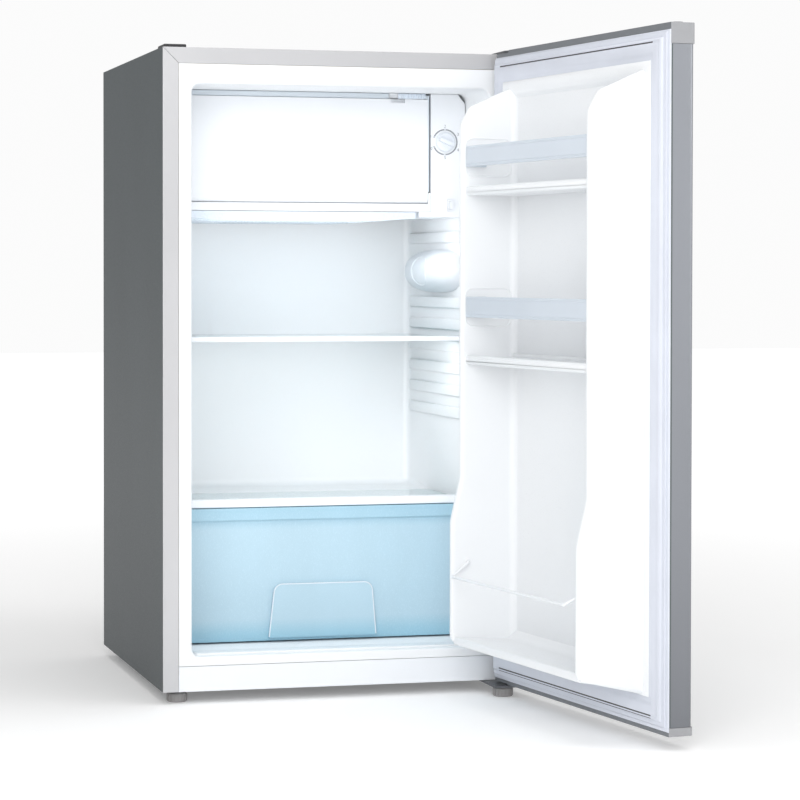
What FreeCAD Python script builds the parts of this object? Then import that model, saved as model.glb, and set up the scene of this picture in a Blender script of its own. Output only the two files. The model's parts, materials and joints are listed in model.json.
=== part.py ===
import FreeCAD, Part
import math
import os
import re
import Sketcher

# A table-top refrigerator with its door open, in millimetres.
# +X is to the right, +Y to the back, +Z up.  The origin is on the floor, under the middle of the cabinet.

SIZES = {
    # outer case
    "width": 474, "depth": 472, "base": 15.5, "top": 843.5, "front": -236,
    "sheet": 1, "lip": 16, "trim_width": 20.5, "trim_thick": 1.4, "seam": 0.3,
    # food compartment
    "hole_half": 199, "hole_low": 60, "hole_high": 797, "wall": 1.6, "corner": 12,
    "hole_deep": 385, "hump_deep": 272, "hump_slope": 10, "hump_high": 248,
    "rib_low": 355, "rib_pitch": 30.2, "rib_high": 16, "rib_proud": 5,
    "rib_start": 60, "rib_stop": 373,
    # insulation and the machine compartment below and behind it
    "deck_low": 31, "bay_deep": 319, "bay_high": 198, "back_deep": 438,
    # freezer compartment
    "flap_deep": 105, "flap_thick": 12, "flap_low": 648.6, "flap_high": 789,
    "flap_left": -193, "flap_right": 145.5, "flap_pin": 2.5, "catch_left": 92, "catch_right": 141,
    "rail_low": 637.5, "rail_high": 647.2,
    "ice_left": -189, "ice_right": 139, "ice_low": 650.5, "ice_high": 789, "ice_deep": 372,
    "tray_left": -196, "tray_right": 130, "tray_low": 624, "tray_high": 636.8, "tray_deep": 340,
    # thermostat housing, knob and door switch
    "box_left": 147, "box_right": 197.5, "box_low": 630.5, "box_deep": 290,
    "knob_across": 169.5, "knob_up": 732, "knob_radius": 13, "knob_proud": 13,
    # lamp
    "lamp_front": 120, "lamp_back": 330, "lamp_up": 557.5, "lamp_high": 60, "lamp_proud": 38,
    # shelves and drawer
    "shelf_deep": 112, "glass_half": 195.5, "glass_thick": 4,
    "upper_low": 462.4, "upper_trim_high": 469, "lower_low": 241.6, "lower_trim_high": 252.5,
    "ledge_high": 244.3, "ledge_thick": 7,
    "drawer_half": 191, "drawer_low": 62.6, "drawer_side_high": 232, "drawer_front_high": 240.9,
    "drawer_back": 266, "drawer_wall": 2.2,
    # door
    "door_gap": 11, "door_thick": 31, "door_low": 16.2, "door_high": 845.3,
    "cap_top": 24.4, "cap_bottom": 10, "cap_proud": 1.4,
    "pin_side": 14, "pin_out": 15.6, "pin_radius": 3.5, "bush_radius": 6.5, "bush_play": 0.06,
    "door_angle": 97.6,
    "bank_half": 190, "bank_wall": 15, "bank_deep": 79, "bank_deeper": 92,
    "bank_low": 55, "bank_rise": 24, "bank_high": 797, "skin": 1.8,
    "bar_low": 691, "bar_second_low": 498, "bar_high": 26.5, "bar_thick": 5,
    "bay_floor_low": 654, "bay_floor_second_low": 437, "bay_floor_thick": 9,
    "wire_radius": 1.9, "wire_pivot_out": 70, "wire_pivot_up": 183, "wire_reach": 28, "wire_drop": 17,
    # feet and machine parts
    "foot_radius": 13.4, "foot_high": 12, "left_foot_across": -214, "left_foot_deep": 27,
    "right_foot_across": 208, "right_foot_deep": -38,
    "motor_across": 55, "motor_deep": 394, "motor_radius": 64, "motor_low": 30, "motor_high": 168,
    "suction_across": 165, "suction_up": 226, "gland_across": 150, "gland_up": 13,
    "coil_half": 190, "coil_low": 250, "coil_pitch": 46, "coil_deep": 456, "tube_radius": 2.5,
}

doc = FreeCAD.newDocument("mini_fridge")
sheet = doc.addObject("Spreadsheet::Sheet", "sizes")
for row, (word, value) in enumerate(SIZES.items(), start=1):
    sheet.set(f"A{row}", word)
    sheet.set(f"B{row}", str(value))
    sheet.setAlias(f"B{row}", word)
doc.recompute()

PLANES = {"x": "YZ_Plane", "y": "XZ_Plane", "z": "XY_Plane"}
SIDES = ((-1, "left"), (1, "right"))
sub_parts = []


# ---------------------------------------------------------------- drawing helpers

def bound(formula):
    """Turn a formula over cell names into one that FreeCAD reads from the sheet."""
    return re.sub(r"[a-z]\w*", r"sizes.\g<0>", str(formula))


def vector(across, deep, up):
    return FreeCAD.Vector(across, deep, up)


def keep(piece, label):
    """Name a finished sub-part and put it on the list of files to write."""
    piece.Label = label
    sub_parts.append(piece)
    return piece


def block(label, across, deep, up):
    """A box between low and high formulas along X, Y and Z."""
    box = doc.addObject("Part::Box", label)
    for axis, length, (low, high) in (("x", "Length", across), ("y", "Width", deep), ("z", "Height", up)):
        box.setExpression(f"Placement.Base.{axis}", bound(low))
        box.setExpression(length, bound(f"({high}) - ({low})"))
    return box


TURNS = {
    "x": FreeCAD.Rotation(FreeCAD.Vector(0, 1, 0), 90),
    "y": FreeCAD.Rotation(FreeCAD.Vector(1, 0, 0), -90),
    "z": FreeCAD.Rotation(),
}


def rod(label, axis, start, length, radius):
    """A round bar along one axis, from a start point given as three formulas."""
    bar = doc.addObject("Part::Cylinder", label)
    bar.Placement = FreeCAD.Placement(vector(0, 0, 0), TURNS[axis])
    for name, formula in zip("xyz", start):
        bar.setExpression(f"Placement.Base.{name}", bound(formula))
    bar.setExpression("Height", bound(length))
    bar.setExpression("Radius", bound(radius))
    return bar


def fuse(label, *pieces):
    union = doc.addObject("Part::MultiFuse", label)
    union.Shapes = list(pieces)
    union.Refine = True
    return union


def cut(label, base, *tools):
    """Take the tools away from the base."""
    result = doc.addObject("Part::Cut", label)
    result.Base = base
    result.Tool = tools[0] if len(tools) == 1 else fuse(label + "_tools", *tools)
    result.Refine = True
    return result


def new_body(label):
    return doc.addObject("PartDesign::Body", label)


def sketch_on(body, axis, level):
    """An empty sketch square to an axis of the body, at a level along that axis."""
    plane = next(item for item in body.Origin.OriginFeatures if item.Role == PLANES[axis])
    sketch = body.newObject("Sketcher::SketchObject", "sketch")
    sketch.AttachmentSupport = [(plane, "")]
    sketch.MapMode = "FlatFace"
    sign = "-1" if axis == "y" else "1"
    sketch.setExpression("AttachmentOffset.Base.z", bound(f"{sign} * ({level})"))
    return sketch


def drive(sketch, kind, places, formula):
    """Add a dimension whose value comes from a formula."""
    index = sketch.addConstraint(Sketcher.Constraint(kind, *places, 1.0))
    sketch.setExpression(f"Constraints[{index}]", bound(formula))


def outline(sketch, points):
    """A closed outline of straight edges through points given as pairs of formulas."""
    count = len(points)
    turn = 2 * math.pi / count
    corners = [vector(math.cos(turn * step), math.sin(turn * step), 0) for step in range(count)]
    for step in range(count):
        sketch.addGeometry(Part.LineSegment(corners[step], corners[(step + 1) % count]))
    for step in range(count):
        sketch.addConstraint(Sketcher.Constraint("Coincident", step, 2, (step + 1) % count, 1))
    for step, (across, up) in enumerate(points):
        drive(sketch, "DistanceX", (-1, 1, step, 1), across)
        drive(sketch, "DistanceY", (-1, 1, step, 1), up)


def prism(body, axis, span, points, pocket=False):
    """Extrude an outline along an axis over a span, adding to the body or cutting into it.

    The points are (y, z) pairs for axis x, (x, z) pairs for axis y and (x, y) pairs for axis z.
    """
    low, high = span
    starts_high = pocket != (axis == "y")
    sketch = sketch_on(body, axis, high if starts_high else low)
    outline(sketch, points)
    kind = "PartDesign::Pocket" if pocket else "PartDesign::Pad"
    feature = body.newObject(kind, "pocket" if pocket else "pad")
    feature.Profile = sketch
    feature.setExpression("Length", bound(f"({high}) - ({low})"))
    return feature


def rectangle(low, high):
    """The four corners between two opposite corners."""
    return [(low[0], low[1]), (high[0], low[1]), (high[0], high[1]), (low[0], high[1])]


def turned(body, points):
    """Revolve a (radius, height) outline about the body's own Z axis."""
    sketch = sketch_on(body, "y", "0")
    outline(sketch, points)
    feature = body.newObject("PartDesign::Revolution", "turned")
    feature.Profile = sketch
    feature.ReferenceAxis = (sketch, ["V_Axis"])
    feature.Angle = 360
    return feature


def soften(body, radius, pick):
    """Round the edges of the body that the pick function accepts."""
    doc.recompute()
    tip = body.Tip
    names = [f"Edge{number}" for number, edge in enumerate(tip.Shape.Edges, 1) if pick(edge)]
    rounding = body.newObject("PartDesign::Fillet", "rounding")
    rounding.Base = (tip, names)
    rounding.setExpression("Radius", bound(radius))
    return rounding


def runs_along(axis):
    """Accept straight edges parallel to an axis."""
    others = [other for other in ("X", "Y", "Z") if other != axis.upper()]
    return lambda edge: all(getattr(edge.BoundBox, other + "Length") < 0.01 for other in others)


def place(body, across, deep, up):
    for name, formula in zip("xyz", (across, deep, up)):
        body.setExpression(f"Placement.Base.{name}", bound(formula))


def size(word):
    """The value of one cell, for shapes that Part's own functions build."""
    return float(sheet.get(word))


def side_span(side, near, far):
    """Low and high X of something between two distances from the middle plane, on one side of it."""
    if side > 0:
        return (near, far)
    return (f"-1 * ({far})", f"-1 * ({near})")


def bent_tube(label, route, radius, bend):
    """A tube along straight runs joined by tangent arcs of one bend radius."""
    points = [vector(*point) for point in route]
    edges = []
    start = points[0]
    for before, at, after in zip(points, points[1:], points[2:]):
        back = (before - at).normalize()
        ahead = (after - at).normalize()
        half = back.getAngle(ahead) / 2
        reach = bend / math.tan(half)
        enter = at + back * reach
        leave = at + ahead * reach
        middle_way = (back + ahead).normalize()
        centre = at + middle_way * (bend / math.sin(half))
        edges.append(Part.LineSegment(start, enter).toShape())
        edges.append(Part.Arc(enter, centre - middle_way * bend, leave).toShape())
        start = leave
    edges.append(Part.LineSegment(start, points[-1]).toShape())
    path = Part.Wire(edges)
    profile = Part.Wire(Part.makeCircle(radius, points[0], points[1] - points[0]))
    tube = doc.addObject("Part::Feature", label)
    tube.Shape = path.makePipeShell([profile], True, False)
    tube.Placement = FreeCAD.Placement()
    return tube


# ---------------------------------------------------------------- outer case

def front_trims():
    """Three light strips around the front of the case, mitred at the top corners."""
    span = ("front", "front + trim_thick")
    for side, word in SIDES:
        strip = new_body(f"front_trim_{word}")
        outer = f"{side} * width / 2"
        inner = f"{side} * (width / 2 - trim_width)"
        prism(strip, "y", span,
              [(outer, "base"), (outer, "top"), (inner, "top - trim_width"), (inner, "base")])
        keep(strip, f"front_trim_{word}")
    strip = new_body("front_trim_top")
    outer = "(width / 2 - seam)"
    inner = "(width / 2 - trim_width - seam)"
    prism(strip, "y", span, [
        (f"-1 * {outer}", "top"), (outer, "top"),
        (inner, "top - trim_width"), (f"-1 * {inner}", "top - trim_width"),
    ])
    keep(strip, "front_trim_top")


def side_panels():
    """Steel side sheets with folded front, rear and bottom lips."""
    start = "front + trim_thick + seam"
    for side, word in SIDES:
        skin = new_body(f"side_panel_{word}")
        outer = f"{side} * width / 2"
        inner = f"{side} * (width / 2 - sheet)"
        lip = f"{side} * (width / 2 - sheet - lip)"
        prism(skin, "z", ("base", "top"), [
            (outer, start), (outer, "front + depth"), (lip, "front + depth"),
            (lip, "front + depth - sheet"),
            (inner, "front + depth - sheet"), (inner, start + " + sheet"), (lip, start + " + sheet"),
            (lip, start),
        ])
        prism(skin, "z", ("base", "base + sheet"), rectangle((outer, start), (lip, "front + depth")))
        keep(skin, f"side_panel_{word}")


def top_panel():
    """Steel top sheet with its edges folded down inside the side panels."""
    skin = new_body("top_panel")
    outer = "(width / 2 - sheet - seam)"
    inner = "(width / 2 - 2 * sheet - seam)"
    fold = "top - 12"
    start = "front + trim_thick + sheet + 2 * seam"
    stop = "front + depth - sheet - seam"
    prism(skin, "y", (start, stop), [
        (f"-1 * {outer}", fold), (f"-1 * {outer}", "top"), (outer, "top"), (outer, fold),
        (inner, fold), (inner, "top - sheet"), (f"-1 * {inner}", "top - sheet"), (f"-1 * {inner}", fold),
    ])
    for low, high in ((start, start + " + sheet"), (stop + " - sheet", stop)):
        prism(skin, "y", (low, high),
              rectangle((f"-1 * {inner} - sheet / 2", fold), (f"{inner} + sheet / 2", "top")))
    keep(skin, "top_panel")


REAR_SCREWS = [(f"{side * 0.47} * width", str(225 + 190 * step)) for side in (-1, 1) for step in range(4)]


def suction_bore(start):
    """The hole that the suction line takes from a depth to behind the rear panel."""
    return rod("suction_bore", "y", ("suction_across", start, "suction_up"),
               "front + 450 - (" + start + ")", "3.6")


def rear_panel():
    """Sheet behind the insulation, with holes for its screws and the suction line."""
    sheet_metal = block("rear_sheet", ("-width / 2 + sheet + 0.5", "width / 2 - sheet - 0.5"),
                        ("front + back_deep", "front + back_deep + sheet"),
                        ("bay_high + sheet + seam", "top - 13"))
    holes = [rod("rear_screw_hole", "y", (across, "front + back_deep - 1", up), "4", "2.3")
             for across, up in REAR_SCREWS]
    keep(cut("rear_panel", sheet_metal, *holes, suction_bore("front + back_deep - 2")), "rear_panel")


def machine_deck():
    """Bent sheet under the insulation that closes it off from the machine compartment."""
    deck = new_body("machine_deck")
    prism(deck, "x", ("-width / 2 + sheet + 1", "width / 2 - sheet - 1"), [
        ("front + 4", "deck_low"), ("front + bay_deep", "deck_low"),
        ("front + bay_deep", "bay_high"), ("front + back_deep + sheet", "bay_high"),
        ("front + back_deep + sheet", "bay_high + sheet"), ("front + bay_deep - sheet", "bay_high + sheet"),
        ("front + bay_deep - sheet", "deck_low + sheet"), ("front + 4", "deck_low + sheet"),
    ])
    keep(deck, "machine_deck")


def kick_panel():
    """White panel below the door opening, folded back along its top and bottom."""
    panel = new_body("kick_panel")
    half = "(width / 2 - trim_width - seam)"
    prism(panel, "x", (f"-1 * {half}", half), [
        ("front + 0.2", "base"), ("front + 0.2", "hole_low - 12"), ("front + 14", "hole_low - 12"),
        ("front + 14", "hole_low - 13.5"), ("front + 1.8", "hole_low - 13.5"),
        ("front + 1.8", "base + 1.5"), ("front + 14", "base + 1.5"), ("front + 14", "base"),
    ])
    keep(panel, "kick_panel")


def base_frame():
    """Front cross rail that takes the left foot and the bottom hinge, and the rear compressor plate."""
    rail = new_body("front_base_rail_channel")
    half = "(width / 2 - sheet - 1)"
    prism(rail, "x", (f"-1 * {half}", half), [
        ("front + 16", "base + 1.2"), ("front + 60", "base + 1.2"), ("front + 60", "base + 14"),
        ("front + 58", "base + 14"), ("front + 58", "base + 3.2"), ("front + 16", "base + 3.2"),
    ])
    stem = rod("left_stem_hole", "z", ("left_foot_across", "front + left_foot_deep", "base"), "6", "4.05")
    keep(cut("front_base_rail", rail, stem), "front_base_rail")
    plate = new_body("compressor_plate_channel")
    prism(plate, "x", (f"-1 * {half}", half), [
        ("front + 300", "base + 1.2"), ("front + depth - 2", "base + 1.2"),
        ("front + depth - 2", "base + 24"),
        ("front + depth - 4", "base + 24"), ("front + depth - 4", "base + 3.2"),
        ("front + 300", "base + 3.2"),
    ])
    hole = rod("gland_hole", "y", ("gland_across", "front + depth - 6", "base + gland_up"), "8", "6.3")
    keep(cut("compressor_plate", plate, hole), "compressor_plate")


# ---------------------------------------------------------------- food compartment

def compartment_shape(label, grow, radius):
    """The compartment's volume with its step over the machine compartment, grown on every side."""
    body = new_body(label)
    half = f"(hole_half + {grow})"
    start = "front + 0.2" if grow == "wall" else "front - 1"
    prism(body, "x", (f"-1 * {half}", half), [
        (start, f"hole_low - {grow}"),
        (f"front + hump_deep + {grow}", f"hole_low - {grow}"),
        (f"front + hump_deep + {grow}", f"hump_high - hump_slope - {grow}"),
        (f"front + hump_deep + hump_slope + {grow}", f"hump_high - {grow}"),
        (f"front + hole_deep + {grow}", f"hump_high - {grow}"),
        (f"front + hole_deep + {grow}", f"hole_high + {grow}"),
        (start, f"hole_high + {grow}"),
    ])
    soften(body, radius, runs_along("y"))
    return body


def inner_liner():
    """Thermoformed white liner: a stepped tub, a front flange and shelf ribs on both side walls."""
    tub = compartment_shape("liner_tub", "wall", "corner + wall")
    flange = block("liner_flange", ("-width / 2 + trim_width + seam", "width / 2 - trim_width - seam"),
                   ("front + 0.2", "front + 0.2 + wall"), ("hole_low - 11.5", "top - trim_width - seam"))
    hollow = compartment_shape("liner_hollow", "0", "corner")
    shell = cut("liner_shell", fuse("liner_outside", tub, flange), hollow)
    ribs = []
    for side, word in SIDES:
        reach = side_span(side, "hole_half - rib_proud", "hole_half + wall / 2")
        for step in range(9):
            if side > 0 and step in (6, 7):
                continue  # the lamp takes the place of these two
            low = f"rib_low + {step} * rib_pitch"
            ribs.append(block(f"rib_{word}_{step}", reach, ("front + rib_start", "front + rib_stop"),
                              (low, low + " + rib_high")))
        ribs.append(block(f"ledge_{word}", reach, ("front + shelf_deep + 16", "front + hump_deep + 4"),
                          ("ledge_high - ledge_thick", "ledge_high")))
    keep(fuse("inner_liner", shell, *ribs), "inner_liner")


def insulation():
    """Foam between the liner and the outer case."""
    foam = new_body("cabinet_foam")
    prism(foam, "x", ("-width / 2 + sheet + 1.6", "width / 2 - sheet - 1.6"), [
        ("front + 15", "deck_low + sheet + seam"),
        ("front + bay_deep - sheet - seam", "deck_low + sheet + seam"),
        ("front + bay_deep - sheet - seam", "bay_high + sheet + seam"),
        ("front + back_deep - seam", "bay_high + sheet + seam"),
        ("front + back_deep - seam", "top - 13"),
        ("front + 5", "top - 13"), ("front + 5", "hole_low - 11"), ("front + 15", "hole_low - 11"),
    ])
    gap = "(wall + seam)"
    prism(foam, "x", (f"-1 * (hole_half + {gap})", f"hole_half + {gap}"), [
        ("front + 4", f"hole_low - {gap}"),
        (f"front + hump_deep + {gap}", f"hole_low - {gap}"),
        (f"front + hump_deep + {gap}", f"hump_high - hump_slope - {gap}"),
        (f"front + hump_deep + hump_slope + {gap}", f"hump_high - {gap}"),
        (f"front + hole_deep + {gap}", f"hump_high - {gap}"),
        (f"front + hole_deep + {gap}", f"hole_high + {gap}"),
        ("front + 4", f"hole_high + {gap}"),
    ], pocket=True)
    keep(cut("cabinet_insulation", foam, suction_bore("front + 420")), "cabinet_insulation")


# ---------------------------------------------------------------- freezer compartment

def evaporator():
    """Roll-bonded aluminium box that makes the freezer compartment, open at the front."""
    outer = block("evaporator_outside", ("ice_left", "ice_right"),
                  ("front + flap_deep + flap_thick + 2", "front + ice_deep"), ("ice_low", "ice_high"))
    inner = block("evaporator_inside", ("ice_left + wall", "ice_right - wall"),
                  ("front + flap_deep", "front + ice_deep - wall"), ("ice_low + wall", "ice_high - wall"))
    keep(cut("evaporator", outer, inner), "evaporator")


def freezer_frame():
    """Rail under the freezer flap with pin ears, drip tray runners, and a strip over the evaporator."""
    deep = ("front + flap_deep", "front + flap_deep + flap_thick")
    rail = block("rail_bar", ("flap_left - 4.8", "flap_right + 3.8"), deep, ("rail_low", "rail_high"))
    ears = [
        block("ear_left", ("flap_left - 4.8", "flap_left - 0.6"), deep, ("rail_low", "rail_high + 16")),
        block("ear_right", ("flap_right + 0.6", "flap_right + 3.8"), deep, ("rail_low", "rail_high + 16")),
    ]
    runners = []
    for word, wall, foot in (
        ("left", ("tray_left - 2.2", "tray_left - 0.8"), ("tray_left - 2.2", "tray_left + 5")),
        ("right", ("tray_right + 0.8", "tray_right + 2.2"), ("tray_right - 5", "tray_right + 2.2")),
    ):
        runners.append(block(f"runner_wall_{word}", wall,
                             ("front + flap_deep + flap_thick - 1", "front + tray_deep"),
                             ("tray_high - 3.2", "rail_high")))
        runners.append(block(f"runner_foot_{word}", foot,
                             ("front + flap_deep + flap_thick - 1", "front + tray_deep"),
                             ("tray_high - 3.2", "tray_high - 1.9")))
    behind = ("front + flap_deep + flap_thick + 0.4", "front + flap_deep + flap_thick + 1.7")
    strips = [
        block("strip_left", ("-hole_half + 8", "catch_left - 1"), behind,
              ("ice_high + 0.3", "hole_high - 0.4")),
        block("strip_right", ("catch_left - 2", "flap_right"), behind,
              ("ice_high + 0.3", "hole_high - 2.8")),
    ]
    solid = fuse("freezer_frame_solid", rail, *ears, *runners, *strips)
    bore = rod("ear_bore", "x",
               ("flap_left - 10", "front + flap_deep + flap_thick / 2", "flap_low + flap_thick / 2"),
               "flap_right - flap_left + 20", "flap_pin + bush_play")
    keep(cut("freezer_frame", solid, bore), "freezer_frame")


def freezer_flap():
    """Hollow drop-down door of the freezer compartment, turning on two pins at its lower edge."""
    flap = new_body("flap_moulding")
    prism(flap, "x", ("flap_left", "flap_right"), rectangle(
        ("front + flap_deep", "flap_low"), ("front + flap_deep + flap_thick", "flap_high")))
    soften(flap, "flap_thick / 2 - 0.05", lambda edge: runs_along("x")(edge)
           and edge.BoundBox.ZMax < size("flap_low") + 1)
    prism(flap, "y", ("front + flap_deep + 3", "front + flap_deep + flap_thick"), rectangle(
        ("flap_left + 14", "flap_low + 16"), ("flap_right - 14", "flap_high - 12")), pocket=True)
    prism(flap, "z", ("flap_high - 5", "flap_high"), rectangle(
        ("catch_left + 2", "front + flap_deep - 1"), ("catch_left + 21", "front + flap_deep + 6")),
        pocket=True)
    level = ("front + flap_deep + flap_thick / 2", "flap_low + flap_thick / 2")
    pin = rod("flap_pins", "x", ("flap_left - 3.4", *level), "flap_right - flap_left + 6.8", "flap_pin")
    keep(fuse("freezer_flap", flap, pin), "freezer_flap")


def freezer_catch():
    """Sprung clip under the ceiling that holds the flap shut."""
    clip = new_body("freezer_catch")
    prism(clip, "x", ("catch_left", "catch_right"), [
        ("front + flap_deep + 2", "hole_high - 2.4"), ("front + flap_deep + 2", "hole_high - 0.3"),
        ("front + flap_deep + 34", "hole_high - 0.3"), ("front + flap_deep + 34", "hole_high - 2.4"),
        ("front + flap_deep + 9", "hole_high - 2.4"), ("front + flap_deep + 7", "hole_high - 6.5"),
        ("front + flap_deep + 5", "hole_high - 2.4"),
    ])
    keep(clip, "freezer_catch")


def drip_tray():
    """Shallow defrost tray that slides out from under the freezer compartment."""
    deep = ("front + flap_deep", "front + tray_deep")
    tray = new_body("drip_tray")
    prism(tray, "y", deep, [
        ("tray_left + 7", "tray_high"), ("tray_left + 7", "tray_low + 4"), ("tray_left + 60", "tray_low"),
        ("tray_right - 60", "tray_low"), ("tray_right - 7", "tray_low + 4"),
        ("tray_right - 7", "tray_high"),
    ])
    prism(tray, "y", ("front + flap_deep + 3", "front + tray_deep - 1.6"), [
        ("tray_left + 8.6", "tray_high + 1"), ("tray_left + 8.6", "tray_low + 5.6"),
        ("tray_left + 60", "tray_low + 1.6"),
        ("tray_right - 60", "tray_low + 1.6"), ("tray_right - 8.6", "tray_low + 5.6"),
        ("tray_right - 8.6", "tray_high + 1"),
    ], pocket=True)
    prism(tray, "y", ("front + flap_deep", "front + flap_deep + 3"), rectangle(
        ("tray_left", "tray_high - 9"), ("tray_right - 2", "tray_high")))
    for inner, outer in (("tray_left + 7.8", "tray_left"), ("tray_right - 7.8", "tray_right")):
        prism(tray, "y", ("front + flap_deep + flap_thick + 1", "front + tray_deep"), rectangle(
            (inner, "tray_high - 1.5"), (outer, "tray_high")))
    keep(tray, "drip_tray")


# ---------------------------------------------------------------- controls and lamp

def thermostat_parts():
    """Housing beside the freezer, the thermostat in it, its sensing bulb, knob and the door switch."""
    start = "front + flap_deep"
    housing = new_body("housing_outside")
    prism(housing, "y", (start, "front + box_deep"), [
        ("box_left + 2.6", "box_low"), ("box_right", "box_low"), ("box_right", "hole_high - 13"),
        ("box_right - 10", "hole_high - 0.5"), ("box_left + 2.6", "hole_high - 0.5"),
    ])
    hollow = new_body("housing_hollow")
    prism(hollow, "y", (start + " + 2", "front + box_deep - 2"), [
        ("box_left + 4.6", "box_low + 2"), ("box_right - 2", "box_low + 2"),
        ("box_right - 2", "hole_high - 14"),
        ("box_right - 11", "hole_high - 2.5"), ("box_left + 4.6", "hole_high - 2.5"),
    ])
    foot = block("housing_foot", ("tray_right + 2.8", "box_left + 3"), (start, start + " + 10"),
                 ("box_low", "rail_low - 0.3"))
    shaft_hole = rod("shaft_hole", "y", ("knob_across", start + " - 1", "knob_up"), "5", "3.2")
    switch_hole = block("switch_hole", ("box_left + 26", "box_left + 34"), (start + " - 1", start + " + 5"),
                        ("box_low + 8", "box_low + 24"))
    shell = fuse("housing_shell", housing, foot)
    keep(cut("thermostat_housing", shell, hollow, shaft_hole, switch_hole), "thermostat_housing")

    case = block("thermostat_case", ("knob_across - 16", "knob_across + 14"),
                 (start + " + 2.5", start + " + 34"),
                 ("knob_up - 15", "knob_up + 15"))
    stem = rod("thermostat_stem", "y", ("knob_across", start + " - 8", "knob_up"), "12", "2.9")
    across = size("knob_across")
    deep = size("front") + size("flap_deep") + 33
    up = size("knob_up")
    capillary = bent_tube("thermostat_capillary", [
        (across, deep, up), (across, deep + 60, up), (across + 8, deep + 60, up - 60),
        (across + 8, deep + 130, up - 60),
    ], 1.5, 8)
    keep(fuse("thermostat", case, stem, capillary), "thermostat")

    knob = new_body("thermostat_knob")
    turned(knob, [("2.96", "0"), ("knob_radius", "0"), ("knob_radius", "3"),
                  ("knob_radius - 1.5", "knob_proud - 2"),
                  ("knob_radius - 3", "knob_proud"), ("0", "knob_proud"), ("0", "7.8"), ("2.96", "7.8")])
    prism(knob, "z", ("knob_proud - 5", "knob_proud + 1"), rectangle(
        ("2.4", "-knob_radius - 1"), ("knob_radius + 1", "knob_radius + 1")), pocket=True)
    prism(knob, "z", ("knob_proud - 5", "knob_proud + 1"), rectangle(
        ("-knob_radius - 1", "-knob_radius - 1"), ("-2.4", "knob_radius + 1")), pocket=True)
    knob.Placement = FreeCAD.Placement(vector(0, 0, 0), FreeCAD.Rotation(vector(1, 0, 0), 90)
                                       * FreeCAD.Rotation(vector(0, 0, 1), 69))
    place(knob, "knob_across", start + " - 0.4", "knob_up")
    keep(knob, "thermostat_knob")

    frame = block("switch_frame", ("box_left + 26.2", "box_left + 33.8"),
                  (start + " - 1.2", start + " + 22"),
                  ("box_low + 8.2", "box_low + 23.8"))
    slot = block("switch_slot", ("box_left + 27.7", "box_left + 32.3"), (start + " - 2", start + " + 18"),
                 ("box_low + 10.7", "box_low + 21.3"))
    keep(cut("door_switch_case", frame, slot), "door_switch_case")
    keep(block("door_switch_button", ("box_left + 28", "box_left + 32"), (start + " - 9", start + " + 12"),
               ("box_low + 11", "box_low + 21")), "door_switch_button")


def lamp_parts():
    """Lamp holder and bulb on the right wall under a rounded clear cover."""
    middle = ("hole_half - 0.3", "front + (lamp_front + lamp_back) / 2", "lamp_up")

    def oval(label, inset):
        """A long rounded shape centred on the wall, made smaller by an inset."""
        shape = doc.addObject("Part::Ellipsoid", label)
        for name, formula in zip("xyz", middle):
            shape.setExpression(f"Placement.Base.{name}", bound(formula))
        shape.setExpression("Radius1", bound(f"lamp_high / 2 - {inset}"))
        shape.setExpression("Radius2", bound(f"lamp_proud - {inset}"))
        shape.setExpression("Radius3", bound(f"(lamp_back - lamp_front) / 2 - {inset}"))
        return shape

    skin = cut("lamp_oval", oval("lamp_outside", "0"), oval("lamp_inside", "1.6"))
    room = block("lamp_room", ("hole_half - lamp_proud - 9", "hole_half - 0.3"),
                 ("front + lamp_front - 9", "front + lamp_back + 9"),
                 ("lamp_up - lamp_high", "lamp_up + lamp_high"))
    cover = doc.addObject("Part::Common", "lamp_cover")
    cover.Base = skin
    cover.Tool = room
    keep(cover, "lamp_cover")

    holder = rod("lamp_socket", "y", ("hole_half - 16", "front + lamp_front + 34", "lamp_up"), "42", "9")
    foot = block("lamp_foot", ("hole_half - 9", "hole_half - 0.4"),
                 ("front + lamp_front + 44", "front + lamp_front + 74"),
                 ("lamp_up - 8", "lamp_up + 8"))
    keep(fuse("lamp_holder", holder, foot), "lamp_holder")
    bulb = new_body("lamp_bulb")
    turned(bulb, [("0", "0"), ("5", "0"), ("5", "8"), ("8", "18"), ("10.5", "30"), ("8", "40"), ("3", "44"),
                  ("0", "44")])
    bulb.Placement = FreeCAD.Placement(vector(0, 0, 0), TURNS["y"])
    place(bulb, "hole_half - 16", "front + lamp_front + 76.3", "lamp_up")
    keep(bulb, "lamp_bulb")


# ---------------------------------------------------------------- shelves and drawer

def shelves():
    """Two sliding glass shelves with a white front trim each."""
    for word, low, high, back in (("upper", "upper_low", "upper_trim_high", "hole_deep - 3"),
                                  ("lower", "lower_low", "lower_trim_high", "hump_deep - 3")):
        lift = "0.4" if word == "upper" else "3"
        half = "glass_half" if word == "upper" else "glass_half + 2"
        glass_low = f"{low} + {lift}"
        deep = ("front + shelf_deep + 4", f"front + {back}")
        keep(block(f"{word}_shelf_glass", ("-glass_half", "glass_half"), deep,
                   (glass_low, glass_low + " + glass_thick")), f"{word}_shelf_glass")
        trim = new_body(f"{word}_shelf_trim")
        prism(trim, "x", (f"-1 * ({half})", half), rectangle(
            ("front + shelf_deep", low), ("front + shelf_deep + 14", high)))
        soften(trim, "1.5", lambda edge: runs_along("x")(edge)
               and edge.BoundBox.YMax < size("front") + size("shelf_deep") + 1)
        prism(trim, "x", (f"-1 * ({half}) - 1", half + " + 1"), rectangle(
            ("front + shelf_deep + 3.9", glass_low + " - 0.1"),
            ("front + shelf_deep + 15", glass_low + " + glass_thick + 0.1")),
            pocket=True)
        keep(trim, f"{word}_shelf_trim")


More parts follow.
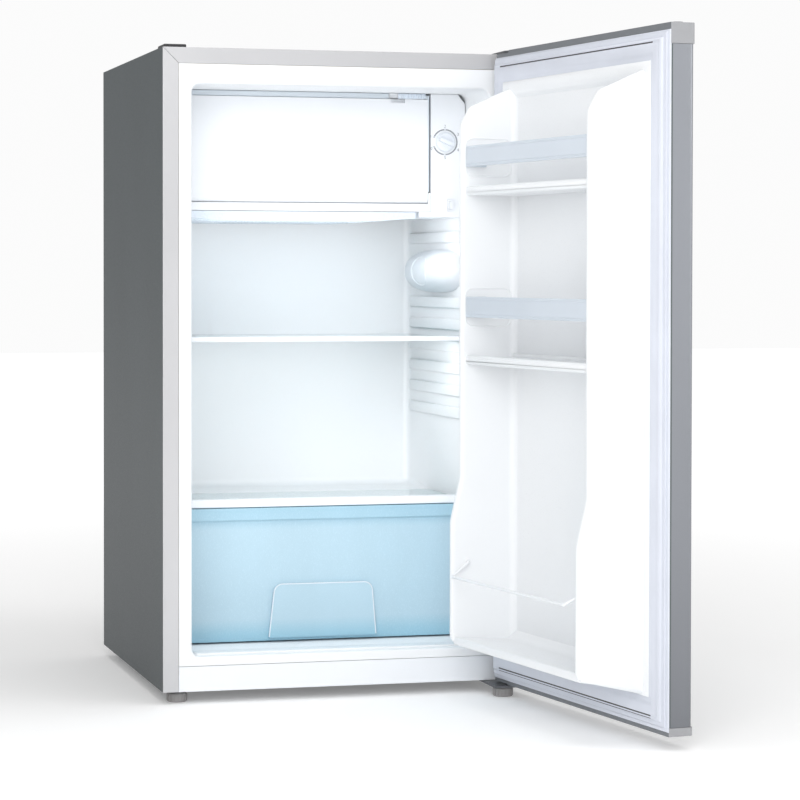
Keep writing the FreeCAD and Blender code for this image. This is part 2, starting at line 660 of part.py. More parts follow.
def crisper_drawer():
    """Clear blue vegetable drawer with a full-width front and a moulded grip."""
    start = "front + shelf_deep + 3"
    tub = new_body("drawer_tub")
    prism(tub, "z", ("drawer_low", "drawer_side_high"), rectangle(
        ("-drawer_half", start), ("drawer_half", "front + drawer_back")))
    soften(tub, "10", lambda edge: (runs_along("y")(edge) or runs_along("x")(edge))
           and edge.BoundBox.ZMax < size("drawer_low") + 1 and edge.BoundBox.YMax > size("front") + 120)
    front_plate = new_body("drawer_plate")
    prism(front_plate, "y", ("front + shelf_deep + 1", start + " + drawer_wall"), rectangle(
        ("-drawer_half - 5.5", "drawer_low"), ("drawer_half + 5.5", "drawer_front_high")))
    soften(front_plate, "10",
           lambda edge: runs_along("y")(edge) and edge.BoundBox.ZMax < size("drawer_low") + 1)
    lip = block("drawer_lip", ("-drawer_half - 5.5", "drawer_half + 5.5"),
                ("front + shelf_deep - 3", start), ("drawer_front_high - 16", "drawer_front_high"))
    grip = new_body("drawer_grip")
    prism(grip, "y", ("front + shelf_deep - 4", "front + shelf_deep + 2"), [
        ("-74", "drawer_low + 4"), ("75", "drawer_low + 4"), ("69", "139"), ("-66", "139")])
    soften(grip, "12", lambda edge: runs_along("y")(edge) and edge.BoundBox.ZMin > 130)
    recess = new_body("drawer_grip_recess")
    prism(recess, "y", ("front + shelf_deep - 1.8", start + " + drawer_wall + 1"), [
        ("-70", "drawer_low + 8"), ("71", "drawer_low + 8"), ("65.5", "135"), ("-62.5", "135")])
    hollow = block("drawer_hollow", ("-drawer_half + drawer_wall", "drawer_half - drawer_wall"),
                   (start + " + drawer_wall", "front + drawer_back - drawer_wall"),
                   ("drawer_low + drawer_wall", "drawer_front_high + 1"))
    solid = fuse("drawer_solid", tub, front_plate, lip, grip)
    keep(cut("crisper_drawer", solid, hollow, recess), "crisper_drawer")


# ---------------------------------------------------------------- door, drawn closed and then swung open

def swing_open(piece):
    """Turn a door piece about the hinge line to the open position it is kept in."""
    pivot = vector(size("width") / 2 - size("pin_side"), size("front") - size("door_gap") - size("pin_out"),
                   0)
    turn = FreeCAD.Rotation(vector(0, 0, 1), size("door_angle"))
    piece.Placement = FreeCAD.Placement(vector(0, 0, 0), turn, pivot)
    return piece


PIN_ACROSS = "width / 2 - pin_side"
PIN_DEEP = "front - door_gap - pin_out"
BACK = "front - door_gap"
FACE = "front - door_gap - door_thick"


def door_panel():
    """Steel door skin, folded round both edges and open to the inside."""
    skin = new_body("door_panel")
    low, high = "door_low + cap_bottom + seam", "door_high - cap_top - seam"
    prism(skin, "z", (low, high), rectangle(("-width / 2", FACE), ("width / 2", BACK)))
    soften(skin, "5", lambda edge: runs_along("z")(edge) and edge.BoundBox.YMax < size("front") - 30)
    prism(skin, "z", (low + " - 1", high + " + 1"), rectangle(
        ("-width / 2 + sheet", FACE + " + sheet + 4"), ("width / 2 - sheet", BACK + " - sheet")),
        pocket=True)
    prism(skin, "z", (low + " - 1", high + " + 1"), rectangle(
        ("-width / 2 + 6", FACE + " + sheet"), ("width / 2 - 6", FACE + " + sheet + 4.5")), pocket=True)
    prism(skin, "z", (low + " - 1", high + " + 1"), rectangle(
        ("-width / 2 + 15", BACK + " - sheet - 0.5"), ("width / 2 - 15", BACK + " + 1")), pocket=True)
    keep(swing_open(skin), "door_panel")


def door_caps():
    """Plastic end caps of the door with hinge sockets at both ends, and the plug for the unused one."""
    ends = (
        ("top", "door_high - cap_top", "door_high", "door_high - 3.2"),
        ("bottom", "door_low", "door_low + cap_bottom", "door_low + 0.9"),
    )
    for word, low, high, recess in ends:
        cap = new_body(f"door_{word}_cap_solid")
        prism(cap, "z", (low, high), rectangle(
            ("-width / 2 - cap_proud / 2", FACE + " - cap_proud"),
            ("width / 2 + cap_proud / 2", BACK + " + 0.4")))
        soften(cap, "5", lambda edge: runs_along("z")(edge) and edge.BoundBox.YMax < size("front") - 30)
        if word == "top":
            notch = (recess, high + " + 1")
            tray = (high + " - 1.2", high + " + 1")
        else:
            notch = (low + " - 1", recess)
            tray = (low + " - 1", low + " + 0.6")
        tools = [
            block(f"cap_notch_{word}", ("width / 2 - 36", "width / 2 + 5"), (FACE + " + 3", BACK + " + 2"),
                  notch),
            block(f"cap_corner_{word}", (PIN_ACROSS + " - 5", "width / 2 + 5"),
                  (FACE + " - 5", FACE + " + 4"), notch),
            block(f"cap_tray_{word}", ("-width / 2 + 3", "width / 2 - 33"), (FACE + " + 2", BACK + " - 3"),
                  tray),
            rod(f"cap_bore_{word}", "z", (PIN_ACROSS, PIN_DEEP, low + " - 1"), f"({high}) - ({low}) + 2",
                "bush_radius"),
            rod(f"cap_spare_{word}", "z", (f"-1 * ({PIN_ACROSS})", PIN_DEEP, low + " - 1"),
                f"({high}) - ({low}) + 2", "5.5"),
        ]
        keep(swing_open(cut(f"door_{word}_cap", cap, *tools)), f"door_{word}_cap")
    bushes = []
    for word, start, length in (("top", "door_high - cap_top + 0.5", "cap_top - 3.9"),
                                ("bottom", "door_low + 1", "cap_bottom - 1.2")):
        ring = rod(f"bush_ring_{word}", "z", (PIN_ACROSS, PIN_DEEP, start), length, "bush_radius - 0.02")
        hole = rod(f"bush_hole_{word}", "z", (PIN_ACROSS, PIN_DEEP, start + " - 1"), length + " + 2",
                   "pin_radius + bush_play")
        bushes.append(cut(f"hinge_bush_{word}", ring, hole))
    keep(swing_open(fuse("hinge_bushes", *bushes)), "hinge_bushes")
    stem = rod("plug_stem", "z", (f"-1 * ({PIN_ACROSS})", PIN_DEEP, "door_high - 14"), "14", "5.3")
    head = rod("plug_head", "z", (f"-1 * ({PIN_ACROSS})", PIN_DEEP, "door_high - 1.1"), "2.6", "6.5")
    keep(swing_open(fuse("hinge_hole_plug", stem, head)), "hinge_hole_plug")


def bank_outline(inset):
    """Side view of the raised banks of the door lining, as (y, z) pairs, made smaller by an inset."""
    return [
        (BACK + " + 0.8", f"bank_low - 2 + {inset}"),
        (f"{BACK} + 7 - {inset}", f"bank_low - 0.5 + {inset}"),
        (f"{BACK} + 9 - {inset}", f"hole_low + 1.5 + {inset}"),
        (f"{BACK} + bank_deeper - {inset}", f"bank_low + bank_rise + {inset}"),
        (f"{BACK} + bank_deeper - {inset}", f"235 - {inset} / 2"),
        (f"{BACK} + bank_deep - {inset}", f"290 - {inset} / 2"),
        (f"{BACK} + bank_deep - {inset}", f"745 - {inset}"),
        (f"{BACK} + bank_deep - 12 - {inset}", f"768 - {inset}"),
        (BACK + " + 0.8", f"bank_high - {inset}"),
    ]


def bank_draft(side, reach):
    """Plan view of the wedge that is taken off a bank's outer side, so that it clears the opening."""
    return [
        (f"{side} * ({reach})", BACK + " + 30"), (f"{side} * ({reach} + 2)", BACK + " + 30"),
        (f"{side} * ({reach} + 2)", BACK + " + bank_deeper + 1"),
        (f"{side} * ({reach} - 6)", BACK + " + bank_deeper + 1"),
    ]


def door_lining():
    """White inner skin of the door: a flat rim, two raised side banks and moulded shelf floors."""
    half = "width / 2 - 8"
    plate = block("lining_plate", (f"-1 * ({half})", half), (BACK + " + 0.5", BACK + " + 0.5 + skin"),
                  ("door_low + 14", "door_high - 14"))
    pieces = [plate]
    tools = []
    for side, word in SIDES:
        ends = side_span(side, "bank_half - bank_wall", "bank_half")
        bank = new_body(f"bank_{word}")
        prism(bank, "x", ends, bank_outline("0"))
        soften(bank, "3",
               lambda edge: not runs_along("x")(edge) and edge.BoundBox.YMax > size("front") + 40)
        pieces.append(bank)
        inner = side_span(side, "bank_half - bank_wall + skin", "bank_half - skin")
        hollow = new_body(f"bank_hollow_{word}")
        prism(hollow, "x", inner, bank_outline("skin"))
        prism(hollow, "z", ("bank_low - 10", "bank_high + 10"), bank_draft(side, "bank_half - skin"),
              pocket=True)
        tools.append(hollow)
        draft = new_body(f"bank_draft_{word}")
        prism(draft, "z", ("bank_low - 10", "bank_high + 10"), bank_draft(side, "bank_half"))
        tools.append(draft)
    reach = "(bank_half - bank_wall + 1)"
    for word, low in (("upper", "bay_floor_low"), ("middle", "bay_floor_second_low")):
        pieces.append(block(f"floor_{word}", (f"-1 * {reach}", reach),
                            (BACK + " + 0.8", BACK + " + bank_deep - 6"),
                            (low, low + " + bay_floor_thick")))
    bottom = new_body("floor_bottom")
    prism(bottom, "x", (f"-1 * {reach}", reach), [
        (BACK + " + 0.8", "hole_low + 2"), (BACK + " + bank_deeper - 4", "bank_low + bank_rise - 2.5"),
        (BACK + " + bank_deeper - 4", "bank_low + bank_rise + 7"), (BACK + " + 0.8", "bank_low + bank_rise + 3"),
    ])
    pieces.append(bottom)
    solid = fuse("lining_solid", *pieces)
    level = "wire_pivot_up"
    bore = rod("wire_bore", "x", ("-bank_half + 1", BACK + " + wire_pivot_out", level), "2 * bank_half - 2",
               "wire_radius + 0.15")
    keep(swing_open(cut("door_lining", solid, *tools, bore)), "door_lining")


def door_foam():
    """Foam that fills the door between its skin and the lining."""
    foam = new_body("door_insulation")
    prism(foam, "z", ("door_low + cap_bottom + 1", "door_high - cap_top - 1"), rectangle(
        ("-width / 2 + 6", FACE + " + sheet + seam"), ("width / 2 - 6", BACK + " - sheet - seam")))
    keep(swing_open(foam), "door_insulation")


def door_gasket():
    """Magnetic seal: a flange on the lining's rim under a narrower bulb, with four magnet strips."""
    flange = block("gasket_flange", ("-width / 2 + 4", "width / 2 - 4"),
                   (BACK + " + 0.6 + skin", BACK + " + 5"),
                   ("door_low + 12", "door_high - 12"))
    bulb = block("gasket_bulb", ("-width / 2 + 11", "width / 2 - 11"), (BACK + " + 4", "front - 0.8"),
                 ("door_low + 14", "door_high - 14"))
    inner = block("gasket_inner", ("-width / 2 + 31", "width / 2 - 31"), ("front - 20", "front + 5"),
                  ("door_low + 36", "door_high - 38"))
    ring = cut("gasket_ring", fuse("gasket_outside", flange, bulb), inner)
    slot_deep = ("front - 4.2", "front - 1.8")
    strips = []
    slots = []
    for name, across, up in (
        ("left", ("-width / 2 + 17", "-width / 2 + 25"), ("door_low + 28", "door_high - 30")),
        ("right", ("width / 2 - 25", "width / 2 - 17"), ("door_low + 28", "door_high - 30")),
        ("top", ("-width / 2 + 28", "width / 2 - 28"), ("door_high - 28", "door_high - 20")),
        ("bottom", ("-width / 2 + 28", "width / 2 - 28"), ("door_low + 18", "door_low + 26")),
    ):
        slots.append(block(f"magnet_slot_{name}", across, slot_deep, up))
        grow = [(f"{low} + 0.1", f"{high} - 0.1") for low, high in (across, slot_deep, up)]
        strips.append(block(f"magnet_{name}", *grow))
    keep(swing_open(cut("door_gasket", ring, *slots)), "door_gasket")
    keep(swing_open(fuse("gasket_magnets", *strips)), "gasket_magnets")


def balcony_bars():
    """Snap-in rails across the two upper door shelves, with ends that turn back along the banks."""
    inner = "(bank_half - bank_wall - 0.3)"
    for word, low in (("upper", "bar_low"), ("middle", "bar_second_low")):
        bar = new_body(f"{word}_door_bar")
        face = f"{BACK} + bank_deep - 4"
        prism(bar, "z", (low, low + " + bar_high"), [
            (f"-1 * {inner}", face + " - 30"), (f"-1 * {inner}", face), (inner, face),
            (inner, face + " - 30"),
            (inner + " - 3", face + " - 30"), (inner + " - 3", face + " - bar_thick"),
            (f"-1 * {inner} + 3", face + " - bar_thick"), (f"-1 * {inner} + 3", face + " - 30"),
        ])
        soften(bar, "1.2", lambda edge: runs_along("x")(edge) and edge.BoundBox.XLength > 340
               and edge.BoundBox.YMax > size("front") + 62)
        keep(swing_open(bar), f"{word}_door_bar")


def bottle_retainer():
    """Bent wire that keeps bottles upright, pivoting in a hole in each bank."""
    end = size("bank_half") - size("bank_wall") + 4
    inner = size("bank_half") - size("bank_wall") - 5
    deep = size("front") - size("door_gap") + size("wire_pivot_out")
    up = size("wire_pivot_up")
    reach = size("wire_reach")
    drop = size("wire_drop")
    wire = bent_tube("bottle_retainer", [
        (end, deep, up), (inner, deep, up), (inner - 10, deep + reach, up - drop),
        (10 - inner, deep + reach, up - drop), (-inner, deep, up), (-end, deep, up),
    ], size("wire_radius"), 4)
    keep(swing_open(wire), "bottle_retainer")


# ---------------------------------------------------------------- hinges, feet and fasteners

def hinges():
    """Steel hinge plates with their pins, and the cover over the unused hinge holes."""
    plate = block("top_hinge_plate", (PIN_ACROSS + " - 12", PIN_ACROSS + " + 12"), (PIN_DEEP, "front + 45"),
                  ("top + 0.1", "top + 2.6"))
    nose = rod("top_hinge_nose", "z", (PIN_ACROSS, PIN_DEEP, "top + 0.1"), "2.5", "12")
    pin = rod("top_hinge_pin", "z", (PIN_ACROSS, PIN_DEEP, "door_high - 17"), "top + 2.4 - door_high + 17",
              "pin_radius")
    holes = [rod(f"top_hinge_hole_{step}", "z", (PIN_ACROSS, f"front + {8 + 14 * step}", "top - 1"), "5",
                 "2.6")
             for step in range(3)]
    keep(cut("top_hinge", fuse("top_hinge_solid", plate, nose, pin), *holes), "top_hinge")

    deck = block("bottom_hinge_plate", ("right_foot_across - 15", "width / 2 - 2"),
                 ("front + right_foot_deep - 14", "front + 48"), ("foot_high + 0.2", "base - 0.3"))
    pin = rod("bottom_hinge_pin", "z", (PIN_ACROSS, PIN_DEEP, "foot_high + 1"), "door_low + 8 - foot_high",
              "pin_radius")
    holes = [rod(f"bottom_hinge_hole_{step}", "z",
                 ("right_foot_across", f"front + {26 + 14 * step}", "foot_high - 1"),
                 "5", "2.6") for step in range(2)]
    stem_hole = rod("bottom_hinge_stem_hole", "z",
                    ("right_foot_across", "front + right_foot_deep", "foot_high - 1"),
                    "6", "4.05")
    keep(cut("bottom_hinge", fuse("bottom_hinge_solid", deck, pin), *holes, stem_hole), "bottom_hinge")

    cover = new_body("hinge_hole_cover")
    prism(cover, "z", ("top + 0.1", "top + 4"),
          rectangle(("-width / 2 + 2", "front + 3"), ("-width / 2 + 31", "front + 46")))
    soften(cover, "1.5", lambda edge: edge.BoundBox.ZMin > size("top") + 3.9)
    keep(cover, "hinge_hole_cover")


def screw(label, across, deep, up, axis="z"):
    """A pan-head screw whose head points along the axis."""
    head = rod(label + "_head", axis, (across, deep, up), "1.8", "4.2")
    if axis == "z":
        shank = rod(label + "_shank", axis, (across, deep, f"{up} - 2.4"), "3", "2.5")
    elif axis == "y":
        shank = rod(label + "_shank", axis, (across, f"{deep} - 0.9", up), "1.5", "2.2")
    return fuse(label, head, shank)


def fasteners():
    """Screws, grouped by what they hold."""
    hinge_screws = [screw(f"top_screw_{step}", PIN_ACROSS, f"front + {8 + 14 * step}",
                          "top + 2.7") for step in range(3)]
    for step in range(2):
        start = ("right_foot_across", f"front + {26 + 14 * step}")
        head = rod(f"bottom_screw_head_{step}", "z", (*start, "foot_high - 1.7"), "1.8", "4.2")
        shank = rod(f"bottom_screw_shank_{step}", "z", (*start, "foot_high - 0.5"), "3.7", "2.5")
        hinge_screws.append(fuse(f"bottom_screw_{step}", head, shank))
    keep(fuse("hinge_screws", *hinge_screws), "hinge_screws")
    rear = []
    for number, (across, up) in enumerate(REAR_SCREWS):
        rear.append(screw(f"rear_screw_{number}", across, "front + back_deep + sheet + 0.05", up, "y"))
    keep(fuse("rear_panel_screws", *rear), "rear_panel_screws")


def feet():
    """Two ribbed screw feet at the front and two fixed feet at the back."""
    for word in ("left", "right"):
        foot = new_body(f"{word}_front_foot")
        stem_top = "base + 12" if word == "left" else "base - 0.3"
        turned(foot, [("0", "0"), ("foot_radius - 1.5", "0"), ("foot_radius - 0.6", "1.2"),
                      ("foot_radius - 0.6", "foot_high - 1.5"), ("foot_radius - 2", "foot_high"),
                      ("4", "foot_high"), ("4", stem_top), ("0", stem_top)])
        rib = prism(foot, "z", ("1.6", "foot_high - 1.8"),
                    rectangle(("foot_radius - 1.6", "-1"), ("foot_radius", "1")))
        pattern = foot.newObject("PartDesign::PolarPattern", "foot_ribs")
        pattern.Originals = [rib]
        pattern.Axis = (rib.Profile[0], ["N_Axis"])
        pattern.Occurrences = 18
        foot.Tip = pattern
        place(foot, f"{word}_foot_across", f"front + {word}_foot_deep", "0")
        keep(foot, f"{word}_front_foot")
    rear = []
    for side, word in SIDES:
        foot = new_body(f"{word}_rear_foot")
        turned(foot, [("0", "0"), ("11", "0"), ("13", "2"), ("13", "base + 0.9"), ("0", "base + 0.9")])
        place(foot, f"{side} * 205", "front + depth - 24", "0")
        rear.append(foot)
    keep(fuse("rear_feet", *rear), "rear_feet")


# ---------------------------------------------------------------- refrigeration parts

def compressor_parts():
    """Hermetic compressor on rubber mounts with its relay box and evaporation pan."""
    shell = new_body("compressor_shell")
    turned(shell, [
        ("0", "motor_low"), ("motor_radius - 22", "motor_low"), ("motor_radius - 4", "motor_low + 14"),
        ("motor_radius", "motor_low + 34"), ("motor_radius", "motor_high - 52"),
        ("motor_radius - 5", "motor_high - 26"),
        ("motor_radius - 24", "motor_high - 7"), ("motor_radius - 46", "motor_high"), ("0", "motor_high"),
    ])
    place(shell, "motor_across", "front + motor_deep", "0")
    plate = block("compressor_feet", ("motor_across - 88", "motor_across + 88"),
                  ("front + motor_deep - 45", "front + motor_deep + 45"),
                  ("motor_low + 1", "motor_low + 4"))
    spots = [(f"motor_across + {side * 76}",
              f"front + motor_deep + {end * 34}") for side in (-1, 1) for end in (-1, 1)]
    holes = [rod(f"mount_hole_{number}", "z", (*spot, "motor_low"), "6", "6.2") for number,
             spot in enumerate(spots)]
    solid = fuse("compressor_solid", shell, plate)
    keep(cut("compressor", solid, *holes), "compressor")
    mounts = []
    for number, spot in enumerate(spots):
        collar = rod(f"mount_collar_{number}", "z", (*spot, "base + 3.3"), "motor_low - base - 2.5", "9.5")
        neck = rod(f"mount_neck_{number}", "z", (*spot, "base + 3.3"), "motor_low - base + 4", "6")
        mounts.append(fuse(f"mount_{number}", collar, neck))
    keep(fuse("compressor_mounts", *mounts), "compressor_mounts")
    keep(block("starter_relay_box", ("motor_across - 104", "motor_across - motor_radius - 1"),
               ("front + motor_deep - 26", "front + motor_deep + 26"),
               ("motor_low + 30", "motor_low + 92")),
         "starter_relay_box")
    outer = block("pan_outside", ("motor_across - 70", "motor_across + 70"),
                  ("front + motor_deep - 52", "front + motor_deep + 52"),
                  ("motor_high + 1", "motor_high + 20"))
    inner = block("pan_inside", ("motor_across - 68", "motor_across + 68"),
                  ("front + motor_deep - 50", "front + motor_deep + 50"),
                  ("motor_high + 3", "motor_high + 30"))
    keep(cut("evaporation_pan", outer, inner), "evaporation_pan")


def refrigerant_lines():
    """Condenser coil on its brackets in the recess of the back, and the lines to the compressor."""
    front = size("front")
    deep = front + size("coil_deep")
    half = size("coil_half")
    low = size("coil_low")
    pitch = size("coil_pitch")
    route = [(-half + 30, deep, low - 40)]
    for step in range(12):
        ends = (-half, half) if step % 2 == 0 else (half, -half)
        route += [(ends[0], deep, low + step * pitch), (ends[1], deep, low + step * pitch)]
    route[1:2] = [(-half + 30, deep, low)]
    coil = bent_tube("condenser_tube", route, size("tube_radius"), 18)
    brackets = []
    for side, word in SIDES:
        for step in (0, 5, 11):
            level = f"coil_low + {step} * coil_pitch"
            brackets.append(block(f"coil_bracket_{word}_{step}",
                                  (f"{side} * 120 - 8", f"{side} * 120 + 8"),
                                  ("front + back_deep + sheet + 0.1", "front + coil_deep - 1"),
                                  (f"{level} - 6", f"{level} + 6")))
    keep(fuse("condenser", coil, *brackets), "condenser")

    across = size("motor_across")
    motor = front + size("motor_deep")
    radius = size("motor_radius")
    keep(bent_tube("discharge_line", [
        (across - 40, motor + radius - 12, 70), (across - 40, motor + radius + 9, 70),
        (across - 120, motor + radius + 9, 110), (-size("coil_half") + 30, deep, 130),
        (-size("coil_half") + 30, deep, low - 42),
    ], 2.5, 9), "discharge_line")
    keep(bent_tube("suction_line", [
        (across + 45, motor + radius - 15, 80), (across + 45, motor + radius + 8, 80),
        (size("suction_across"), motor + radius + 8, 120),
        (size("suction_across"), motor + radius + 8, size("suction_up")),
        (size("suction_across"), front + 422, size("suction_up")),
    ], 3.2, 9), "suction_line")
    drier = new_body("filter_drier")
    turned(drier, [("0", "0"), ("3", "0"), ("8", "8"), ("8", "72"), ("3", "82"), ("0", "82")])
    place(drier, "-182", "front + depth - 22", "60")
    keep(drier, "filter_drier")
    gland = new_body("cord_gland")
    turned(gland, [("3.6", "-6"), ("6", "-6"), ("6", "0"), ("10", "0"), ("10", "3"), ("7", "4"), ("6", "9"),
                   ("3.6", "9")])
    gland.Placement = FreeCAD.Placement(vector(0, 0, 0), TURNS["y"])
    place(gland, "gland_across", "front + depth - 1.9", "base + gland_up")
    keep(gland, "cord_gland")


# ---------------------------------------------------------------- build, check and write

front_trims()
side_panels()
top_panel()
rear_panel()
machine_deck()
kick_panel()
base_frame()
inner_liner()
insulation()
evaporator()
freezer_frame()
freezer_flap()
freezer_catch()
drip_tray()
thermostat_parts()
lamp_parts()
shelves()
crisper_drawer()
door_panel()
door_caps()
door_lining()
door_foam()
door_gasket()
balcony_bars()
bottle_retainer()
hinges()
fasteners()
feet()
compressor_parts()
refrigerant_lines()
doc.recompute()

for item in doc.Objects:
    if "Invalid" in item.State or "Error" in item.State:
        raise RuntimeError(f"{item.Label} failed: {item.State}")
for piece in sub_parts:
    if piece.Shape.isNull() or not piece.Shape.isValid():
        raise RuntimeError(f"{piece.Label} has no valid shape")

os.makedirs("parts", exist_ok=True)
for piece in sub_parts:
    piece.Shape.exportStep(f"parts/{piece.Label}.step")
print(len(sub_parts), "sub-parts written")
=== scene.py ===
import json
import math

import bmesh
import bpy
from mathutils import Matrix, Vector


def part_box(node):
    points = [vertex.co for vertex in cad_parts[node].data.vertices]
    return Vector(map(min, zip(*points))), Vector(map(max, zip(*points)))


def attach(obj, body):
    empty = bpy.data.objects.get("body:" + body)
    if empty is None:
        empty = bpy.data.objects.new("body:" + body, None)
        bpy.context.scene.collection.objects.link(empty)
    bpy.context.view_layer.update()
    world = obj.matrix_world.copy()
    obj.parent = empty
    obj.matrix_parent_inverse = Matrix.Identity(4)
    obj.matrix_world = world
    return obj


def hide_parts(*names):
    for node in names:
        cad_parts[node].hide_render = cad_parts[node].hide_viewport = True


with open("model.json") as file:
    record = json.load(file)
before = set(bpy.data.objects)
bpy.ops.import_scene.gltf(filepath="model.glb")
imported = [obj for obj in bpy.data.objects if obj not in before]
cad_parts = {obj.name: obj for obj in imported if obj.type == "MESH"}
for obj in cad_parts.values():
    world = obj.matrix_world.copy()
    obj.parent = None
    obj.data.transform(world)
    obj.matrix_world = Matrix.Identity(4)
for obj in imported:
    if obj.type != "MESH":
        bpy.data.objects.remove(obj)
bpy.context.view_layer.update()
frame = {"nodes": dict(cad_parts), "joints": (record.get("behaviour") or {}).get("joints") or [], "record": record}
NODES = frame["nodes"]
SLOTS = {part["node"]: part["material_slot"] for part in frame["record"]["subparts"]}
JOINTS = {joint["name"]: joint for joint in frame["joints"]}
MM = 0.001


# ---------------------------------------------------------------- places

def box(node):
    """A CAD node's lowest and highest corners at rest, in millimetres."""
    low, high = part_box(node)
    return low / MM, high / MM


HINGE = Vector(JOINTS["door_hinge"]["pos_m"]) / MM
OPENING = -math.radians(JOINTS["door_hinge"]["range_deg"][0])
SWING = Matrix.Translation(HINGE) @ Matrix.Rotation(OPENING, 4, "Z") @ Matrix.Translation(-HINGE)


def closed_box(node):
    """A door node's box in millimetres, with the door turned shut."""
    shut = SWING.inverted()
    corners = [shut @ (vertex.co / MM) for vertex in NODES[node].data.vertices]
    return (Vector([min(c[i] for c in corners) for i in range(3)]),
            Vector([max(c[i] for c in corners) for i in range(3)]))


# ---------------------------------------------------------------- materials

def srgb(*levels):
    """Display levels 0-255 as a linear colour with full alpha."""
    linear = [level / 255 / 12.92 if level < 11 else ((level / 255 + 0.055) / 1.055) ** 2.4
              for level in levels]
    return (*linear, 1.0)


def tinted(nodes, links, colour, measure, stops):
    """A colour multiplied by tints that follow a measured value between stops."""
    span = nodes.new("ShaderNodeMapRange")
    span.inputs["From Min"].default_value = stops[0][0]
    span.inputs["From Max"].default_value = stops[-1][0]
    links.new(measure, span.inputs["Value"])
    fade = nodes.new("ShaderNodeValToRGB")
    elements = fade.color_ramp.elements
    for value, _ in stops[1:-1]:
        elements.new((value - stops[0][0]) / (stops[-1][0] - stops[0][0]))
    for element, (value, tint) in zip(elements, stops):
        element.color = (*tint, 1)
    links.new(span.outputs["Result"], fade.inputs["Fac"])
    mix = nodes.new("ShaderNodeMix")
    mix.data_type, mix.blend_type = "RGBA", "MULTIPLY"
    mix.inputs["Factor"].default_value = 1
    links.new(colour, mix.inputs["A"])
    links.new(fade.outputs["Color"], mix.inputs["B"])
    return mix.outputs["Result"]


def material(name, colour, rough=0.4, spread=0.03, patch=7, grain=400, bump=0.1, depth=0.0002,
             rough_spread=0.06, stretch=(1, 1, 1), grain_share=0.3, bands=(), facing=None, **sockets):
    """A principled material whose colour, gloss and surface vary with two sizes of noise.

    patch and grain are the noise scales, per metre, of the slow change of shade and of the fine texture.
    bands are (height in mm, tint) pairs that the colour is multiplied by, painted shade that changes with height,
    and facing is a direction and the tint of the faces that look that way, painted shade on that side.
    """
    mat = bpy.data.materials.new(name)
    mat.use_nodes = True
    nodes, links = mat.node_tree.nodes, mat.node_tree.links
    shader = nodes["Principled BSDF"]
    where = nodes.new("ShaderNodeTexCoord")
    mapping = nodes.new("ShaderNodeMapping")
    mapping.inputs["Scale"].default_value = stretch
    links.new(where.outputs["Object"], mapping.inputs["Vector"])
    slow = nodes.new("ShaderNodeTexNoise")
    slow.inputs["Scale"].default_value = patch
    slow.inputs["Detail"].default_value = 4
    fine = nodes.new("ShaderNodeTexNoise")
    fine.inputs["Scale"].default_value = grain
    fine.inputs["Detail"].default_value = 3
    for texture in (slow, fine):
        links.new(mapping.outputs["Vector"], texture.inputs["Vector"])
    both = nodes.new("ShaderNodeMath")
    both.operation = "MULTIPLY_ADD"
    both.inputs[1].default_value = grain_share
    links.new(fine.outputs["Fac"], both.inputs[0])
    links.new(slow.outputs["Fac"], both.inputs[2])
    ramp = nodes.new("ShaderNodeValToRGB")
    ramp.color_ramp.elements[0].position = 0.45
    ramp.color_ramp.elements[1].position = 0.9
    ramp.color_ramp.elements[0].color = [c * (1 - spread) for c in colour[:3]] + [1]
    ramp.color_ramp.elements[1].color = [min(1, c * (1 + spread)) for c in colour[:3]] + [1]
    links.new(both.outputs[0], ramp.inputs["Fac"])
    colour_out = ramp.outputs["Color"]
    # painted shade: the colour is multiplied by tints that change with height
    if bands:
        split = nodes.new("ShaderNodeSeparateXYZ")
        links.new(where.outputs["Object"], split.inputs["Vector"])
        colour_out = tinted(nodes, links, colour_out, split.outputs["Z"],
                            [(z * MM, tint) for z, tint in bands])
    # painted shade: faces that look one way are multiplied by a darker tint
    if facing:
        look = nodes.new("ShaderNodeVectorMath")
        look.operation = "DOT_PRODUCT"
        look.inputs[1].default_value = facing[0]
        links.new(where.outputs["Normal"], look.inputs[0])
        colour_out = tinted(nodes, links, colour_out, look.outputs["Value"],
                            [(0.6, (1, 1, 1)), (0.9, facing[1])])
    links.new(colour_out, shader.inputs["Base Color"])
    gloss = nodes.new("ShaderNodeMapRange")
    gloss.inputs["From Min"].default_value = 0.3
    gloss.inputs["From Max"].default_value = 0.7
    gloss.inputs["To Min"].default_value = max(0.02, rough - rough_spread)
    gloss.inputs["To Max"].default_value = rough + rough_spread
    links.new(fine.outputs["Fac"], gloss.inputs["Value"])
    links.new(gloss.outputs["Result"], shader.inputs["Roughness"])
    relief = nodes.new("ShaderNodeBump")
    relief.inputs["Strength"].default_value = bump
    relief.inputs["Distance"].default_value = depth
    links.new(fine.outputs["Fac"], relief.inputs["Height"])
    links.new(relief.outputs["Normal"], shader.inputs["Normal"])
    for socket, value in sockets.items():
        shader.inputs[socket.replace("_", " ")].default_value = value
    return mat


